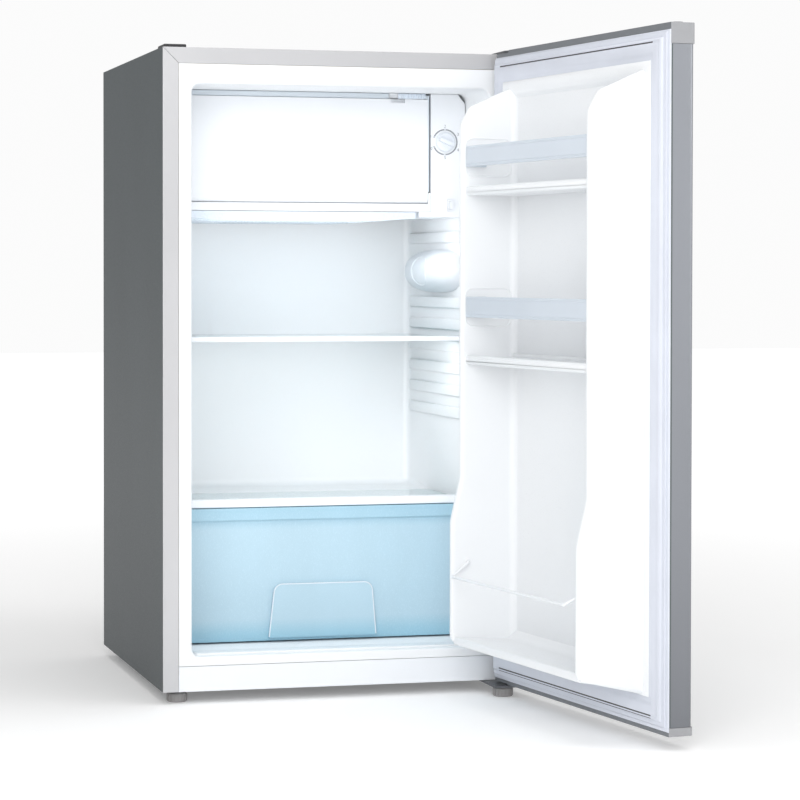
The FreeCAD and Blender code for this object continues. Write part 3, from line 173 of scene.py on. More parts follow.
MATERIALS = {
    # side_paint is darker towards the bottom: painted shade
    "side_paint": material("side_paint", srgb(66, 74, 77), 0.5, spread=0.08, patch=5, grain=1100, bump=0.25,
                           bands=((0, (0.84,) * 3), (300, (0.93,) * 3), (800, (1, 1, 1))),
                           stretch=(1, 1, 0.55), Specular_IOR_Level=0.4),
    "trim_paint": material("trim_paint", srgb(198, 198, 200), 0.34, spread=0.03, grain=700, bump=0.12,
                           Metallic=0.35),
    "galvanised": material("galvanised", srgb(176, 178, 180), 0.38, spread=0.16, patch=60, grain=300,
                           bump=0.1, rough_spread=0.12, Metallic=0.9),
    "black_paint": material("black_paint", srgb(34, 34, 35), 0.36, spread=0.2, grain=500, bump=0.2),
    "liner_white": material("liner_white", srgb(238, 240, 242), 0.3, spread=0.012, patch=5, grain=900,
                            bump=0.03, grain_share=0.05, rough_spread=0.03, Specular_IOR_Level=0.45),
    "white_plastic": material("white_plastic", srgb(236, 239, 243), 0.32, spread=0.012, grain=1200,
                              bump=0.04, grain_share=0.05, rough_spread=0.03),
    "foam": material("foam", srgb(226, 205, 150), 0.85, spread=0.1, patch=30, grain=900, bump=0.6,
                     depth=0.0005),
    "aluminium": material("aluminium", srgb(205, 208, 212), 0.3, spread=0.06, patch=25, grain=700,
                          bump=0.15, stretch=(1, 6, 1), Metallic=1.0),
    "copper": material("copper", srgb(184, 115, 76), 0.3, spread=0.14, patch=60, grain=500, bump=0.1,
                       rough_spread=0.12, Metallic=1.0),
    "clear_frost": material("clear_frost", srgb(222, 227, 232), 0.36, spread=0.02, grain=1200, bump=0.05,
                            grain_share=0.05, rough_spread=0.04, Transmission_Weight=0.08, IOR=1.45,
                            Emission_Color=(0.95, 0.98, 1, 1), Emission_Strength=0.03),
    "bulb_glass": material("bulb_glass", srgb(246, 246, 240), 0.08, spread=0.02, rough_spread=0.03,
                           Transmission_Weight=0.8, IOR=1.45),
    "shelf_glass": material("shelf_glass", srgb(216, 236, 241), 0.08, spread=0.03, rough_spread=0.03,
                            bump=0.02, grain_share=0.05, Transmission_Weight=0.45, IOR=1.5),
    # drawer_blue is a deeper blue towards its bottom and its top and paler between: painted shade
    "drawer_blue": material("drawer_blue", srgb(183, 211, 225), 0.26, spread=0.05, patch=9, grain=1500,
                            bump=0.02, grain_share=0.03, rough_spread=0.03, stretch=(1, 1, 0.35), Alpha=0.9,
                            bands=((62, (0.66, 0.86, 0.93)), (74, (0.74, 0.9, 0.95)), (92, (1, 1, 1)),
                                   (212, (1, 1, 1)), (224, (0.84, 0.93, 0.96)), (241, (0.8, 0.91, 0.95)))),
    "tray_blue": material("tray_blue", srgb(222, 232, 243), 0.3, spread=0.04, bump=0.03, grain_share=0.05),
    "bar_plastic": material("bar_plastic", srgb(206, 214, 223), 0.34, spread=0.02, patch=12, grain=1500,
                            bump=0.02, grain_share=0.03, rough_spread=0.03),
    # door_steel darkens towards the bottom of the door: painted shade
    "door_steel": material("door_steel", srgb(144, 147, 153), 0.36, spread=0.05, patch=6, grain=900,
                           bump=0.2, stretch=(1, 1, 0.3), Metallic=0.45,
                           bands=((30, (0.66,) * 3), (110, (0.74,) * 3), (250, (0.85,) * 3),
                                  (400, (0.94,) * 3), (530, (1, 1, 1)), (840, (1, 1, 1)))),
    # cap_plastic is darker on the faces turned to the door's inside: painted shade
    "cap_plastic": material("cap_plastic", srgb(152, 153, 156), 0.42, spread=0.05, grain=800, bump=0.2,
                            facing=((SWING.to_3x3() @ Vector((0, 1, 0))), (0.5, 0.53, 0.55))),
    "gasket": material("gasket", srgb(211, 215, 225), 0.5, spread=0.03, patch=20, grain=900, bump=0.05,
                       grain_share=0.1),
    "magnet": material("magnet", srgb(60, 58, 58), 0.7, spread=0.1, bump=0.2),
    "hinge_steel": material("hinge_steel", srgb(112, 114, 118), 0.36, spread=0.1, patch=60, grain=600,
                            bump=0.15, Metallic=0.7),
    "foot_plastic": material("foot_plastic", srgb(148, 146, 146), 0.5, spread=0.08, grain=900, bump=0.25),
    "black_plastic": material("black_plastic", srgb(38, 38, 40), 0.45, spread=0.15, grain=900, bump=0.25),
    "rubber": material("rubber", srgb(40, 40, 41), 0.7, spread=0.15, grain=900, bump=0.3),
    "wire_white": material("wire_white", srgb(236, 238, 241), 0.28, spread=0.02, grain=1200, bump=0.04,
                           grain_share=0.1),
    "screw_zinc": material("screw_zinc", srgb(178, 180, 184), 0.3, spread=0.1, patch=200, grain=900,
                           bump=0.1, Metallic=0.9),
    "knob_plastic": material("knob_plastic", srgb(226, 231, 238), 0.3, spread=0.02, grain=1200, bump=0.04,
                             grain_share=0.1),
}
PRINT_GREY = material("print_grey", srgb(142, 145, 150), 0.5, spread=0.08, grain=700, bump=0.05)
# A dark grey for the painted shadow line at the door panel's edges.
SHADOW_LINE_GREY = material("painted_shadow_grey", srgb(84, 92, 92), 0.5, spread=0.1, grain=900, bump=0.1)
# A pale blue for painted light: the lit look of the gaps round the freezer flap, and a painted highlight on the
# drawer grip's rim.
PAINTED_LIGHT_BLUE = material("painted_light_blue", srgb(214, 223, 231), 0.45, spread=0.03, grain=900, bump=0.04,
                    grain_share=0.1)


# ---------------------------------------------------------------- mesh tools, in millimetres

WELD_DISTANCE = 0.00001  # metres


def finish_piece(name, bm, body, slot, replaced=(), smooth=38, mat=None, swing=False):
    """Turn a bmesh in millimetres into a shown piece that rides on a body."""
    bmesh.ops.recalc_face_normals(bm, faces=bm.faces)
    bmesh.ops.scale(bm, vec=(MM, MM, MM), verts=bm.verts)
    mesh = bpy.data.meshes.new(name)
    bm.to_mesh(mesh)
    bm.free()
    if swing:
        mesh.transform(Matrix.Scale(MM, 4) @ SWING @ Matrix.Scale(1 / MM, 4))
    mesh.shade_smooth()
    mesh.set_sharp_from_angle(angle=math.radians(smooth))
    obj = bpy.data.objects.new(name, mesh)
    bpy.context.scene.collection.objects.link(obj)
    mesh.materials.append(mat or MATERIALS[slot])
    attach(obj, body)
    if replaced:
        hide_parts(*replaced)
    return obj


def slab(bm, low, high, radius=1.5, segments=3):
    """A box with every edge rounded."""
    made = bmesh.ops.create_cube(bm, size=1)["verts"]
    for vertex in made:
        vertex.co = Vector([(a + b) / 2 + c * (b - a) for a, b, c in zip(low, high, vertex.co)])
    edges = list(dict.fromkeys(edge for vertex in made for edge in vertex.link_edges))
    if radius > 0:
        bmesh.ops.bevel(bm, geom=edges, offset=radius, segments=segments, profile=0.5, affect="EDGES",
                        clamp_overlap=True)


def filleted(points, radius, steps=4):
    """A closed outline with its corners rounded; radius is one number or one for each corner."""
    radii = radius if isinstance(radius, (list, tuple)) else [radius] * len(points)
    result = []
    for i, (point, r) in enumerate(zip(points, radii)):
        here = Vector(point)
        before, after = Vector(points[i - 1]) - here, Vector(points[(i + 1) % len(points)]) - here
        angle = before.angle(after)
        if r <= 0 or angle > math.pi - 0.02:
            result.append(here)
            continue
        cut = min(r / math.tan(angle / 2), before.length * 0.49, after.length * 0.49)
        r = cut * math.tan(angle / 2)
        bisector = (before.normalized() + after.normalized()).normalized()
        centre = here + bisector * (r / math.sin(angle / 2))
        start, end = here + before.normalized() * cut - centre, here + after.normalized() * cut - centre
        sweep = start.angle_signed(end)
        for step in range(steps + 1):
            turn = -sweep * step / steps
            result.append(centre + Vector((start.x * math.cos(turn) - start.y * math.sin(turn),
                                           start.x * math.sin(turn) + start.y * math.cos(turn))))
    return result


def to_axis(axis, u, v, w):
    """A point from outline coordinates (u, v) and a level w along an axis."""
    return {"x": (w, u, v), "y": (u, w, v), "z": (u, v, w)}[axis]


def inset_outline(points, distance):
    """A closed outline moved inward; the outline runs either way round."""
    count = len(points)
    area = sum(points[i - 1][0] * points[i][1] - points[i][0] * points[i - 1][1] for i in range(count))
    side = 1 if area > 0 else -1
    moved = []
    for i in range(count):
        here = Vector(points[i][:2])
        one = (here - Vector(points[i - 1][:2])).normalized()
        two = (Vector(points[(i + 1) % count][:2]) - here).normalized()
        normal = Vector((-one.y - two.y, one.x + two.x)) * side
        scale = normal.normalized().dot(Vector((-one.y, one.x)) * side)
        moved.append(here + normal.normalized() * distance / max(scale, 0.3))
    return moved


def loft(bm, rings, wrap=False):
    """Skin a list of rings of vertices, each joined to the next, with closed ends or joined up."""
    pairs = list(zip(rings, rings[1:])) + ([(rings[-1], rings[0])] if wrap else [])
    for one, two in pairs:
        count = len(one)
        for i in range(count):
            j = (i + 1) % count
            bm.faces.new((one[i], one[j], two[j], two[i]))
    if not wrap:
        bm.faces.new(rings[0])
        bm.faces.new(list(reversed(rings[-1])))


def extrusion(bm, points, axis, low, high, rim=0.0, steps=3):
    """An outline drawn square to an axis and extended along it, with rounded rims. Returns its vertices."""
    turns = [math.pi / 2 * step / steps for step in range(steps + 1)] if rim > 0 else [math.pi / 2]
    near = [(rim * (1 - math.sin(t)), low + rim * (1 - math.cos(t))) for t in turns]
    far = [(inset, low + high - level) for inset, level in reversed(near)]
    rings = [[bm.verts.new(to_axis(axis, p[0], p[1], level)) for p in inset_outline(points, inset)]
             for inset, level in near + far]
    loft(bm, rings)
    return [vertex for ring in rings for vertex in ring]


def frame_ring(bm, profile, half, low, high):
    """A mitred frame round the door: profile pairs are (distance in from the edge, depth)."""
    rings = []
    for inset, deep in profile:
        x, bottom, top = half - inset, low + inset, high - inset
        corners = ((-x, deep, bottom), (x, deep, bottom), (x, deep, top), (-x, deep, top))
        rings.append([bm.verts.new(corner) for corner in corners])
    loft(bm, rings, wrap=True)


def rounded_rectangle(u0, v0, u1, v1, radius):
    """The outline of a rectangle with rounded corners."""
    return filleted([(u0, v0), (u1, v0), (u1, v1), (u0, v1)], radius, 5)


def lathe(bm, profile, centre, axis, steps=48):
    """A turned shape from (radius, level) pairs about an axis through the centre."""
    rings = []
    for radius, level in profile:
        ring = []
        for step in range(steps if radius > 0 else 1):
            turn = 2 * math.pi * step / steps
            offset = Vector(to_axis(axis, radius * math.cos(turn), radius * math.sin(turn), level))
            ring.append(bm.verts.new(Vector(centre) + offset))
        rings.append(ring)
    for one, two in zip(rings, rings[1:]):
        for step in range(steps):
            nxt = (step + 1) % steps
            corners = [one[step % len(one)], one[nxt % len(one)], two[nxt % len(two)], two[step % len(two)]]
            corners = [v for i, v in enumerate(corners) if v not in corners[:i]]
            if len(corners) > 2:
                bm.faces.new(corners)
    for ring in (rings[0], rings[-1]):
        if len(ring) > 1:
            bm.faces.new(ring)


def tube(bm, points, radius, sides=12, closed=False):
    """A round bar through points in millimetres, with flat ends or joined up."""
    points = [Vector(p) for p in points]
    count = len(points)
    rings = []
    normal = None
    for i, point in enumerate(points):
        after = points[(i + 1) % count] if closed else points[min(i + 1, count - 1)]
        before = points[i - 1] if closed or i else points[0]
        ahead = (after - before).normalized()
        if normal is None:
            normal = ahead.orthogonal().normalized()
        normal = (normal - ahead * normal.dot(ahead)).normalized()
        side = ahead.cross(normal)
        rings.append([bm.verts.new(point + radius * (math.cos(t) * normal + math.sin(t) * side))
                      for t in (2 * math.pi * s / sides for s in range(sides))])
    loft(bm, rings, wrap=closed)


def refine(node, width):
    """Keep a CAD node and round its edges a little with a modifier."""
    obj = NODES[node]
    weld = obj.modifiers.new("weld", "WELD")
    weld.merge_threshold = WELD_DISTANCE
    bevel = obj.modifiers.new("edges", "BEVEL")
    bevel.width = width * MM
    bevel.segments = 2
    bevel.limit_method = "ANGLE"
    bevel.angle_limit = math.radians(30)


# ---------------------------------------------------------------- CAD nodes that stay

for node, obj in NODES.items():
    obj.data.materials.clear()
    obj.data.materials.append(MATERIALS[SLOTS[node]])

SOFT_EDGES = {
    "front_trim_left": 0.5, "front_trim_right": 0.5, "front_trim_top": 0.5, "kick_panel": 0.5,
    "freezer_flap": 1.0, "freezer_frame": 0.5, "freezer_catch": 0.3,
    "upper_shelf_glass": 0.6, "lower_shelf_glass": 0.6, "upper_shelf_trim": 1.0, "lower_shelf_trim": 1.4,
    "crisper_drawer": 0.8, "drip_tray": 0.5, "door_top_cap": 2.0, "door_bottom_cap": 0.8,
    "hinge_hole_cover": 0.4, "top_hinge": 0.4, "bottom_hinge": 0.4, "evaporation_pan": 0.8,
    "starter_relay_box": 2.0, "hinge_hole_plug": 0.4,
}
for node, width in SOFT_EDGES.items():
    refine(node, width)


# ---------------------------------------------------------------- liner

FRONT = box("front_trim_top")[0].y
LINER_LOW, LINER_HIGH = box("inner_liner")
HOLE_HALF = LINER_HIGH.x - 17.2
HOLE_LOW, HOLE_TOP = LINER_LOW.z + 11.5, LINER_HIGH.z - 25.7
HOLE_BACK = LINER_HIGH.y - 1.6
HUMP_FRONT, HUMP_TOP = FRONT + 272, 248   # the step over the compressor compartment
LINER_CORNER, LINER_LIP = 11, 3.2
RIB_LOW, RIB_PITCH, RIB_THICK, RIB_COUNT = 355, 30.2, 16, 9
RIB_PROUD, RIB_START, RIB_STOP = 5, 60, 373
LEDGE_LOW, LEDGE_HIGH, LEDGE_START, LEDGE_STOP = 237.3, 244.3, 128, 276
LAMP_RIBS = (6, 7)                       # on the right wall, the lamp is in place of these


def liner_skin():
    """The white thermoformed tub with rounded corners, its front flange, shelf ribs and ledges."""
    bm = bmesh.new()
    corner = LINER_CORNER
    bend = [(HUMP_FRONT + corner * (1 - math.cos(turn)), HUMP_TOP - corner * (1 - math.sin(turn)))
            for turn in (math.radians(18 * step) for step in range(6))]
    outline = [(FRONT, HOLE_LOW), (HUMP_FRONT, HOLE_LOW), *bend, (HOLE_BACK, HUMP_TOP),
               (HOLE_BACK, HOLE_TOP), (FRONT, HOLE_TOP)]
    extrusion(bm, outline, "x", -HOLE_HALF, HOLE_HALF)

    def on_bend(edge):
        """A line across the step's rounded front edge, which is round already."""
        first, second = (vertex.co for vertex in edge.verts)
        return (abs(first.x - second.x) > 1 and HUMP_FRONT - 0.1 < first.y < HUMP_FRONT + corner + 0.1
                and abs(first.z - HUMP_TOP + corner / 2) < corner / 2 + 0.1)

    edges = [edge for edge in bm.edges
             if any(vertex.co.y > FRONT + 1 for vertex in edge.verts) and not on_bend(edge)]
    bmesh.ops.bevel(bm, geom=edges, offset=corner, segments=5, profile=0.5, affect="EDGES",
                    clamp_overlap=False)
    mouth = [face for face in bm.faces if all(vertex.co.y < FRONT + 0.01 for vertex in face.verts)]
    bmesh.ops.delete(bm, geom=mouth, context="FACES_ONLY")
    rim = [edge for edge in bm.edges if edge.is_boundary]
    lip = LINER_LIP
    for vertex in {vertex for edge in rim for vertex in edge.verts}:
        vertex.co.y = FRONT + 0.2 + lip
    loop = rim
    for turn in (30, 60, 90):
        made = bmesh.ops.extrude_edge_only(bm, edges=loop)["geom"]
        verts = [item for item in made if isinstance(item, bmesh.types.BMVert)]
        loop = [item for item in made if isinstance(item, bmesh.types.BMEdge)]
        last = math.radians(turn - 30)
        grow = lip * (math.cos(last) - math.cos(math.radians(turn)))
        for vertex in verts:
            core = Vector((max(-HOLE_HALF + corner, min(HOLE_HALF - corner, vertex.co.x)), 0,
                           max(HOLE_LOW + corner, min(HOLE_TOP - corner, vertex.co.z))))
            away = Vector((vertex.co.x, 0, vertex.co.z)) - core
            away.normalize()
            vertex.co += away * grow
            vertex.co.y = FRONT + 0.2 + lip * (1 - math.sin(math.radians(turn)))
    made = bmesh.ops.extrude_edge_only(bm, edges=loop)["geom"]
    for vertex in (item for item in made if isinstance(item, bmesh.types.BMVert)):
        if abs(vertex.co.x) > HOLE_HALF - corner + 0.5:
            vertex.co.x = math.copysign(LINER_HIGH.x, vertex.co.x)
        if vertex.co.z < HOLE_LOW + corner - 0.5:
            vertex.co.z = LINER_LOW.z
        elif vertex.co.z > HOLE_TOP - corner + 0.5:
            vertex.co.z = LINER_HIGH.z
    bmesh.ops.remove_doubles(bm, verts=bm.verts, dist=0.01)
    for side in (-1, 1):
        inner, outer = sorted((side * (HOLE_HALF - RIB_PROUD), side * (HOLE_HALF + 1)))
        for step in range(RIB_COUNT):
            if side > 0 and step in LAMP_RIBS:
                continue
            low = RIB_LOW + RIB_PITCH * step
            slab(bm, (inner, FRONT + RIB_START, low), (outer, FRONT + RIB_STOP, low + RIB_THICK), 2.6, 4)
        slab(bm, (inner, FRONT + LEDGE_START, LEDGE_LOW), (outer, FRONT + LEDGE_STOP, LEDGE_HIGH), 1.8)
    slab(bm, (-HOLE_HALF + 9, FRONT + 16, HOLE_LOW - 1), (HOLE_HALF - 9, FRONT + 44, HOLE_LOW + 2.2), 1.5)
    finish_piece("liner_skin", bm, "cabinet", "liner_white", ["inner_liner"])


# ---------------------------------------------------------------- door

PANEL_HIGH = closed_box("door_panel")[1]
CAP_LOW, CAP_HIGH = closed_box("door_bottom_cap")[0], closed_box("door_top_cap")[1]
RIM = PANEL_HIGH.y
DOOR_LOW, DOOR_TOP = CAP_LOW.z, CAP_HIGH.z
BANK_HALF, BANK_WALL, FILLET = 190, 15, 9
LINING_HALF = 229
SOCKET_INSET, SOCKET_DEEP = 9, 73.5      # the rounded frame round each bar's end
BAY_FLOORS, BAY_DEEP, BAY_THICK = (654, 437), 73, 9
SEAL_SHARP = 50                          # degrees between faces that still look smooth


def door_lining_skin():
    """The moulded inner skin of the door: rim, raised surround, two banks, bay floors and bar sockets."""
    bm = bmesh.new()
    slab(bm, (-LINING_HALF, RIM + 0.5, DOOR_LOW + 14), (LINING_HALF, RIM + 2.3, DOOR_TOP - 14), 0.8)
    surround = [(31.8, 1.5), (32.2, 5.5), (33.4, 7.6), (36, 8.9), (40, 9.4),
                (45, 9.2), (49, 7.8), (52.5, 5.2), (55, 3), (57, 1.5)]
    frame_ring(bm, [(inset, RIM + proud) for inset, proud in surround],
               PANEL_HIGH.x, DOOR_LOW + 8, DOOR_TOP - 8)
    outline = filleted([(RIM + 1, 58), (RIM + 92, 79), (RIM + 92, 235), (RIM + 79, 290), (RIM + 79, 745),
                        (RIM + 66, 768), (RIM + 1, 797)], [0, 14, 40, 40, 18, 14, 0], 6)
    for side in (-1, 1):
        ends = sorted((side * (BANK_HALF - BANK_WALL), side * BANK_HALF))
        for vertex in extrusion(bm, outline, "x", *ends, rim=5.5, steps=5):
            share = (abs(vertex.co.x) - BANK_HALF + BANK_WALL) / BANK_WALL
            vertex.co.x -= side * share * max(0, vertex.co.y - RIM - 30) * 6 / 62
        for low in (closed_box("upper_door_bar")[0].z, closed_box("middle_door_bar")[0].z):
            path = rounded_rectangle(RIM + SOCKET_INSET, low - 11.5, RIM + SOCKET_DEEP, low + 37, 10)
            tube(bm, [(side * (BANK_HALF - BANK_WALL - 0.1), p.x, p.y) for p in path], 1.0, 8, closed=True)
    reach = BANK_HALF - BANK_WALL + 2
    for side in (-1, 1):
        turns = [math.pi / 2 * step / 6 for step in range(7)]
        arc = [(side * (BANK_HALF - BANK_WALL - FILLET * (1 - math.sin(t))),
                RIM + 2.2 + FILLET * (1 - math.cos(t))) for t in turns]
        extrusion(bm, arc + [(side * (BANK_HALF - BANK_WALL + 1), RIM + 1)], "z", 66, 790)
    floor = filleted([(RIM + 1, 62), (RIM + 88, 76.5), (RIM + 88, 88), (RIM + 82, 85), (RIM + 12, 81),
                      (RIM + 2, 92)], [0, 3, 3, 6, 12, 0], 4)
    extrusion(bm, floor, "x", -reach, reach)
    for low in BAY_FLOORS:
        high = low + BAY_THICK
        slab(bm, (-reach, RIM + 1, low), (reach, RIM + BAY_DEEP, high), 4, 4)
        slab(bm, (-reach, RIM + BAY_DEEP - 7, low + 1), (reach, RIM + BAY_DEEP, high + 3), 2.8, 4)
        slab(bm, (-reach, RIM + 1, high - 4), (reach, RIM + 8, high + 5), 3.4, 4)
    finish_piece("door_lining_skin", bm, "door", "liner_white", ["door_lining"], swing=True)


def gasket_skin():
    """The ribbed seal round the lining, mitred at its corners."""
    bm = bmesh.new()
    flange = RIM + 2.5
    profile = [(3, flange - 0.3), (2.6, flange + 1.2), (3.2, flange + 2.2), (6.5, flange + 2.7),
               (8.6, flange + 2.9), (9.4, flange + 4.2), (10.2, flange + 6.2), (11.6, flange + 7.0),
               (13, flange + 6.5),
               (14.2, flange + 6.5), (15.4, flange + 7.3), (17, flange + 7.7), (25.2, flange + 7.7),
               (27, flange + 7.1), (28.2, flange + 6.6), (31, flange + 6.2),
               (36, flange + 5.2), (36, flange - 0.3)]
    frame_ring(bm, profile, PANEL_HIGH.x, DOOR_LOW + 8, DOOR_TOP - 8)
    finish_piece("gasket_skin", bm, "door", "gasket", ["door_gasket"], swing=True, smooth=SEAL_SHARP)


def lining_edge():
    """The lining's rolled edge, where it laps the steel skin outside the seal."""
    bm = bmesh.new()
    profile = [(-0.4, RIM - 0.4), (-0.7, RIM + 0.2), (-0.7, RIM + 1.0), (-0.2, RIM + 1.9),
               (0.8, RIM + 2.4), (4.2, RIM + 3.0), (4.2, RIM - 0.4)]
    frame_ring(bm, profile, PANEL_HIGH.x, DOOR_LOW + 6, DOOR_TOP - 9)
    finish_piece("lining_edge", bm, "door", "gasket", swing=True, smooth=SEAL_SHARP)


def panel_return():
    """A dark strip on the steel skin's return beside the lining's edge, on both sides: a painted shadow line."""
    bm = bmesh.new()
    edge = PANEL_HIGH.x + 0.55
    for side in (-1, 1):
        ends = sorted((side * (edge - 1), side * edge))
        slab(bm, (ends[0], RIM - 2.2, CAP_LOW.z + 11), (ends[1], RIM - 0.2, CAP_HIGH.z - 25), 0.15, 1)
    finish_piece("panel_return", bm, "door", "door_steel", mat=SHADOW_LINE_GREY, swing=True)


BAR_RETURN = 30


def balcony_bar(word):
    """A door shelf bar with rounded edges and ends that turn back into the sockets."""
    bm = bmesh.new()
    low, high = closed_box(f"{word}_door_bar")
    face, back, wide = high.y, high.y - BAR_RETURN, high.x
    outline = filleted([(-wide, back), (-wide, face), (wide, face), (wide, back), (wide - 3.2, back),
                        (wide - 3.2, face - 5), (3.2 - wide, face - 5), (3.2 - wide, back)],
                       [1.4, 6, 6, 1.4, 1.4, 3, 3, 1.4], 5)
    extrusion(bm, outline, "z", low.z, high.z, rim=0.7, steps=2)
    for level in (high.z - 3.2, low.z + 3.2):
        tube(bm, [(-wide + 8, face - 0.1, level), (wide - 8, face - 0.1, level)], 0.7, 8)
    finish_piece(f"{word}_bar_skin", bm, "door", "bar_plastic", [f"{word}_door_bar"], smooth=20, swing=True)


# ---------------------------------------------------------------- thermostat dial and lamp

KNOB_LOW, KNOB_HIGH = box("thermostat_knob")
DIAL = Vector(((KNOB_LOW.x + KNOB_HIGH.x) / 2, box("thermostat_housing")[0].y,
               (KNOB_LOW.z + KNOB_HIGH.z) / 2))
KNOB_EDGE, KNOB_RIBS = 12.9, 36
RING_ARCS, RING_IN, RING_OUT = ((-86, 86), (94, 154), (206, 264)), 15.9, 17.7
RING_TICKS, NUMBER_ANGLES, NUMBER_CIRCLE = (90, 270, 158, 202), (205, 160, 90, 30, -30, -90), 21.2
LAMP_BULGE, LAMP_ROUND = 2.7, 0.85       # how square the lamp cover is along and across


def knob_skin():
    """The dial knob: a stepped disc, a finely ribbed edge and a raised diagonal grip with a pointer dot."""
    bm = bmesh.new()
    face = DIAL.y - 0.5
    profile = [(0, 0), (12.9, 0), (13, 0.8), (13, 3.2), (12.2, 4.2), (11.2, 5.2), (10.2, 5.6), (0, 5.6)]
    lathe(bm, [(r, -level) for r, level in profile], (DIAL.x, face, DIAL.z), "y", 72)
    grip = bmesh.new()
    slab(grip, (-11.4, -12.6, -2.9), (11.6, -4.8, 2.9), 1.7, 4)
    slab(grip, (7.4, -13.0, -0.9), (10.2, -12.2, 0.9), 0.35, 2)
    turn = Matrix.Translation((DIAL.x, face, DIAL.z)) @ Matrix.Rotation(math.radians(21), 4, "Y")
    bmesh.ops.transform(grip, matrix=turn, verts=grip.verts)
    scratch = bpy.data.meshes.new("grip")
    grip.to_mesh(scratch)
    grip.free()
    bm.from_mesh(scratch)
    bpy.data.meshes.remove(scratch)
    for step in range(KNOB_RIBS):
        angle = 2 * math.pi * step / KNOB_RIBS
        x, z = DIAL.x + KNOB_EDGE * math.cos(angle), DIAL.z + KNOB_EDGE * math.sin(angle)
        tube(bm, [(x, face - 0.4, z), (x, face - 3.2, z)], 0.35, 6)
    finish_piece("knob_skin", bm, "thermostat_knob", "knob_plastic", ["thermostat_knob"])


def dial_ring():
    """The printed ring round the knob, with ticks in the gaps between its arcs."""
    bm = bmesh.new()
    face = DIAL.y
    for start, end in RING_ARCS:
        count = max(6, int((end - start) / 5))
        rings = []
        for step in range(count + 1):
            angle = math.radians(start + (end - start) * step / count)
            ring = [(r * math.cos(angle) + DIAL.x, face + y, r * math.sin(angle) + DIAL.z)
                    for r, y in ((RING_IN, 0.05), (RING_OUT, 0.05), (RING_OUT, -0.15), (RING_IN, -0.15))]
            rings.append([bm.verts.new(p) for p in ring])
        loft(bm, rings)
    for angle in RING_TICKS:
        turn = math.radians(angle)
        out = Vector((math.cos(turn), 0, math.sin(turn)))
        tube(bm, [Vector((DIAL.x, face - 0.05, DIAL.z)) + out * r for r in (15.4, 18.4)], 0.35, 6)
    finish_piece("dial_ring", bm, "cabinet", "white_plastic", mat=PRINT_GREY)


def dial_numbers():
    """Plain numbers round the ring."""
    for number, angle in enumerate(NUMBER_ANGLES):
        data = bpy.data.curves.new(f"dial_number_{number}", "FONT")
        data.body = str(number)
        data.size = 0.0058
        data.extrude = 0.00006
        data.align_x, data.align_y = "CENTER", "CENTER"
        label = bpy.data.objects.new(f"dial_number_{number}", data)
        bpy.context.scene.collection.objects.link(label)
        data.materials.append(PRINT_GREY)
        turn = math.radians(angle)
        label.location = Vector((DIAL.x + NUMBER_CIRCLE * math.cos(turn), DIAL.y - 0.07,
                                 DIAL.z + NUMBER_CIRCLE * math.sin(turn))) * MM
        label.rotation_euler = (math.pi / 2, 0, 0)
        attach(label, "cabinet")


def power(value, exponent):
    """A power that keeps the value's sign."""
    return math.copysign(abs(value) ** exponent, value)


def lamp_swell(t):
    """The share of the lamp cover's full size at t, from -1 to 1 along it."""
    return (1 - abs(t) ** LAMP_BULGE) ** (1 / LAMP_BULGE)


def lamp_skin():
    """The rounded lamp cover on the right wall, with an oval raised line and fine ribs at its rear."""
    low, high = box("lamp_cover")
    middle = (low + high) / 2
    wall = high.x
    long, tall, proud = (high.y - low.y) / 2, (high.z - low.z) / 2, high.x - low.x
    bm = bmesh.new()
    rings = []
    steps, arc = 72, 28
    for step in range(steps + 1):
        t = -0.999 + 1.998 * step / steps
        swell = lamp_swell(t)
        ring = []
        for turn in range(arc + 1):
            angle = math.pi * (turn / arc - 0.5)
            c, s = abs(math.cos(angle)) ** LAMP_ROUND, power(math.sin(angle), LAMP_ROUND)
            ribbed = t > 0.34 + 0.2 * (1 - c)
            ribs = 0.3 * (0.5 + 0.5 * math.cos(turn / arc * math.pi * 26)) if ribbed else 0
            reach = swell - ribs / proud
            place = (wall - proud * reach * c, middle.y + t * long, middle.z + tall * reach * s)
            ring.append(bm.verts.new(place))
        rings.append(ring)
    for one, two in zip(rings, rings[1:]):
        for i in range(arc):
            bm.faces.new((one[i], one[i + 1], two[i + 1], two[i]))
    ring = []
    for step in range(48):
        turn = 2 * math.pi * step / 48
        t = -0.16 + 0.3 * power(math.cos(turn), 0.8)
        s = 0.66 * power(math.sin(turn), 0.8)
        swell = lamp_swell(t)
        c = math.cos(math.asin(power(s, 1 / LAMP_ROUND))) ** LAMP_ROUND
        ring.append((wall - proud * swell * c, middle.y + t * long, middle.z + tall * swell * s))
    tube(bm, ring, 0.8, 8, closed=True)
    finish_piece("lamp_skin", bm, "cabinet", "clear_frost", ["lamp_cover"], smooth=60)


# ---------------------------------------------------------------- freezer, drawer and back details

def catch_detail():
    """The sprung clip's teeth at the flap's upper right corner."""
    bm = bmesh.new()
    low, high = box("freezer_catch")
    flap = box("freezer_flap")[1].z
    slab(bm, (low.x + 12, low.y - 3, flap + 0.6), (high.x + 1, low.y + 1, high.z - 0.2), 0.8)
    for step in range(5):
        x = low.x + 16 + 7 * step
        slab(bm, (x, low.y - 5.2, flap + 0.8), (x + 2.2, low.y - 2.4, high.z - 1), 0.5, 2)
    finish_piece("catch_teeth", bm, "cabinet", "tray_blue")


